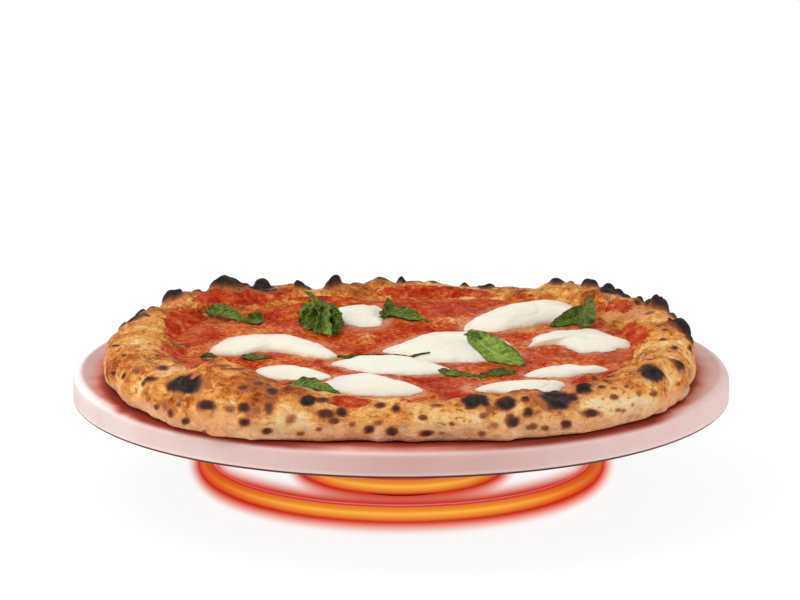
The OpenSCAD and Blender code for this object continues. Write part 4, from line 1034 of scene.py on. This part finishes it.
def sleeve_material():
    """Woven glass-fibre sleeve on the wires."""
    g = Graph("lead_sleeve")
    x, y, z = g.coords()
    weave = g.math("SINE", (y + x) * THREADS) * g.math("SINE", (y - (x + z)) * THREADS)
    colour = g.mix(g.span(weave, -0.6, 0.8), (206, 190, 156), (236, 226, 204))
    return g.surface(Base_Color=colour, Roughness=0.75, Normal=g.bump(weave, 0.00018, 0.6))


def coil_material():
    g = Graph("resistance_wire")
    hot = g.ramp(g.noise(4, 2), (0.3, 250, 120, 40), (0.7, 255, 176, 80))
    return g.surface(Base_Color=(90, 60, 50), Metallic=1.0, Roughness=0.5, Emission_Color=hot, Emission_Strength=1.0)


def dress(node, material):
    obj = NODES[node]
    obj.data.materials.clear()
    obj.data.materials.append(material)
    for polygon in obj.data.polygons:
        polygon.material_index = 0


def dress_cad():
    made = {name: metal_material(name, *values) for name, values in METALS.items()}
    made.update({name: plain_material(name, *values) for name, values in PLAIN.items()})
    made["lead_sleeve"] = sleeve_material()
    for part in frame["record"]["subparts"]:
        if part["material_slot"] in made:
            dress(part["node"], made[part["material_slot"]])
    coil = coil_material()
    for node in ("outer_coil", "inner_coil"):
        dress(node, coil)
    dress("baking_stone", stone_material())
    for node in ("outer_element", "inner_element"):
        dress(node, glow_material(node, ring_radius(node)))


# The sensor's spring, built at the part's length; in the real thing it is pressed shorter as the capsule goes down.
SPRING_TURNS, SPRING_WIRE, SENSOR_TRAVEL = 5, 0.55 * MM, 3.0 * MM


def make_spring(material):
    low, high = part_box("sensor_spring")
    steps, sides = SPRING_TURNS * 56, 14
    part = np.linspace(0, 1, steps + 1)
    a, b = part * SPRING_TURNS * TURN, angles(sides)[None, :, None]
    out = xyz(np.cos(a), np.sin(a), 0)
    wire = out * ((high.x - low.x) / 2 - SPRING_WIRE)
    wire[:, 2] = low.z + SPRING_WIRE + part * (high.z - low.z - 2 * SPRING_WIRE)
    along = np.gradient(wire, axis=0)
    along = along / np.linalg.norm(along, axis=-1, keepdims=True)
    over = np.cross(along, out)
    rings = wire[:, None] + SPRING_WIRE * (np.cos(b) * out[:, None] + np.sin(b) * over[:, None])
    faces = grid_faces(steps + 1, sides, False, True).tolist()
    faces += [list(range(sides)), [steps * sides + k for k in range(sides)][::-1]]
    obj = add_object("spring", rings.reshape(-1, 3), turned(faces), material)
    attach(obj, "base")
    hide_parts("sensor_spring")
    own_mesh(obj)


# Stage: floor, backdrop light and the tinted air that paints a red glow round the rings.
FLOOR_HALF, FLOOR_WHITE, WORLD_LIGHT = 9.0, 0.915, 0.62


def make_stage():
    g = Graph("floor")
    paper = g.add("BsdfDiffuse", {"Color": (236, 236, 236)})
    shaded = g.add("BsdfDiffuse", {"Color": (0.13, 0.13, 0.13, 1.0)})
    shine = g.add("Emission", {"Color": (1, 1, 1, 1), "Strength": FLOOR_WHITE})
    lit = g.add("AddShader", {0: shaded, 1: shine})
    g.finish(g.add("MixShader", {0: g.backdrop(), 1: paper, 2: lit}))
    h = FLOOR_HALF
    add_object("floor", [(-h, -h, 0), (h, -h, 0), (h, h, 0), (-h, h, 0)], [[0, 1, 2, 3]], g.owner)

    g = Graph("studio", "World")
    light, white = (g.add("Background", {"Color": (1, 1, 1, 1), "Strength": s}) for s in (WORLD_LIGHT, 1.0))
    SCENE.world = g.finish(g.add("MixShader", {0: g.backdrop(), 1: light, 2: white}))


def add_softbox(name, at, size, watts):
    data = bpy.data.lights.new(name, "AREA")
    data.shape = "RECTANGLE"
    data.size, data.size_y = size
    data.energy = watts
    lamp = bpy.data.objects.new(name, data)
    SCENE.collection.objects.link(lamp)
    lamp.location = at
    lamp.rotation_euler = (Vector((0, 0, 0.05)) - Vector(at)).to_track_quat("-Z", "Y").to_euler()


def make_lights():
    add_softbox("key", (-0.9, -0.7, 1.7), (0.9, 0.9), 13.0)
    add_softbox("left", (-1.8, -0.4, 0.4), (0.6, 0.5), 8.0)
    add_softbox("right", (1.8, -0.4, 0.4), (0.6, 0.5), 8.0)


# the painted red glow round the rings: its reach in mm and how strongly it takes green and blue away
GLOW_HALO_R, GLOW_HALO_DENSITY = 11.5, 460.0


def glow_halo_material(name, ring_r):
    """Painted glow round the tube: air that takes green and blue away near it, less where the ring is seen along its
    length.
    """
    g = Graph(name)
    x, y, z = g.coords()
    radius = g.length(x, y)
    off = radius - ring_r
    away = g.length(off, z - RING_Z) / MM
    near, far = (g.math("EXPONENT", (4.1 - away) / reach) for reach in (1.5, 3.4))
    fade = (near * 0.86 + far * 0.20) * g.span(away, 8.0, GLOW_HALO_R - 0.3, 1.0, 0.0)
    facing = g.math("ABSOLUTE", y) / radius
    outer, inner = g.span(facing, 0.1, 0.75, 0.36, 1.0), g.span(facing, 0.35, 0.98, 0.10, 1.0)
    front = (inner - outer) * g.span(off, -2.5 * MM, 2.5 * MM, 1.0, 0.0) + outer
    g.owner.cycles.volume_step_rate = 0.05
    return g.finish(g.add("VolumeAbsorption", {"Color": (0.86, 0.15, 0.0, 1.0),
                                               "Density": fade * front * GLOW_HALO_DENSITY}), "Volume")


def make_halo():
    """Rings of tinted air, part of the stage: a painted red glow round the rings, as the photograph shows it."""
    turns, sides = 144, 24
    a, b = angles(turns)[:, None], angles(sides)
    for name in ("haze_outer", "haze_inner"):
        ring_r = ring_radius(name[5:] + "_element")
        reach = ring_r + GLOW_HALO_R * MM * np.cos(b)
        p = xyz(reach * np.cos(a), reach * np.sin(a), RING_Z + GLOW_HALO_R * MM * np.sin(b))
        faces = grid_faces(turns, sides, True, True).tolist()
        add_object(name, p.reshape(-1, 3), faces, glow_halo_material(name, ring_r))


def build():
    SCENE.view_settings.view_transform = "Standard"
    make_stage()
    make_lights()
    dress_cad()
    make_spring(NODES["sensor_stem"].data.materials[0])
    make_halo()
    dough = crust_material()
    shapes = cheese_shapes()
    make_crust(dough)
    make_base(dough)
    sauce = make_sauce(sauce_material(), shapes)
    cheese = make_cheese(cheese_material(), shapes)
    make_leaves([sauce, *cheese])


build()
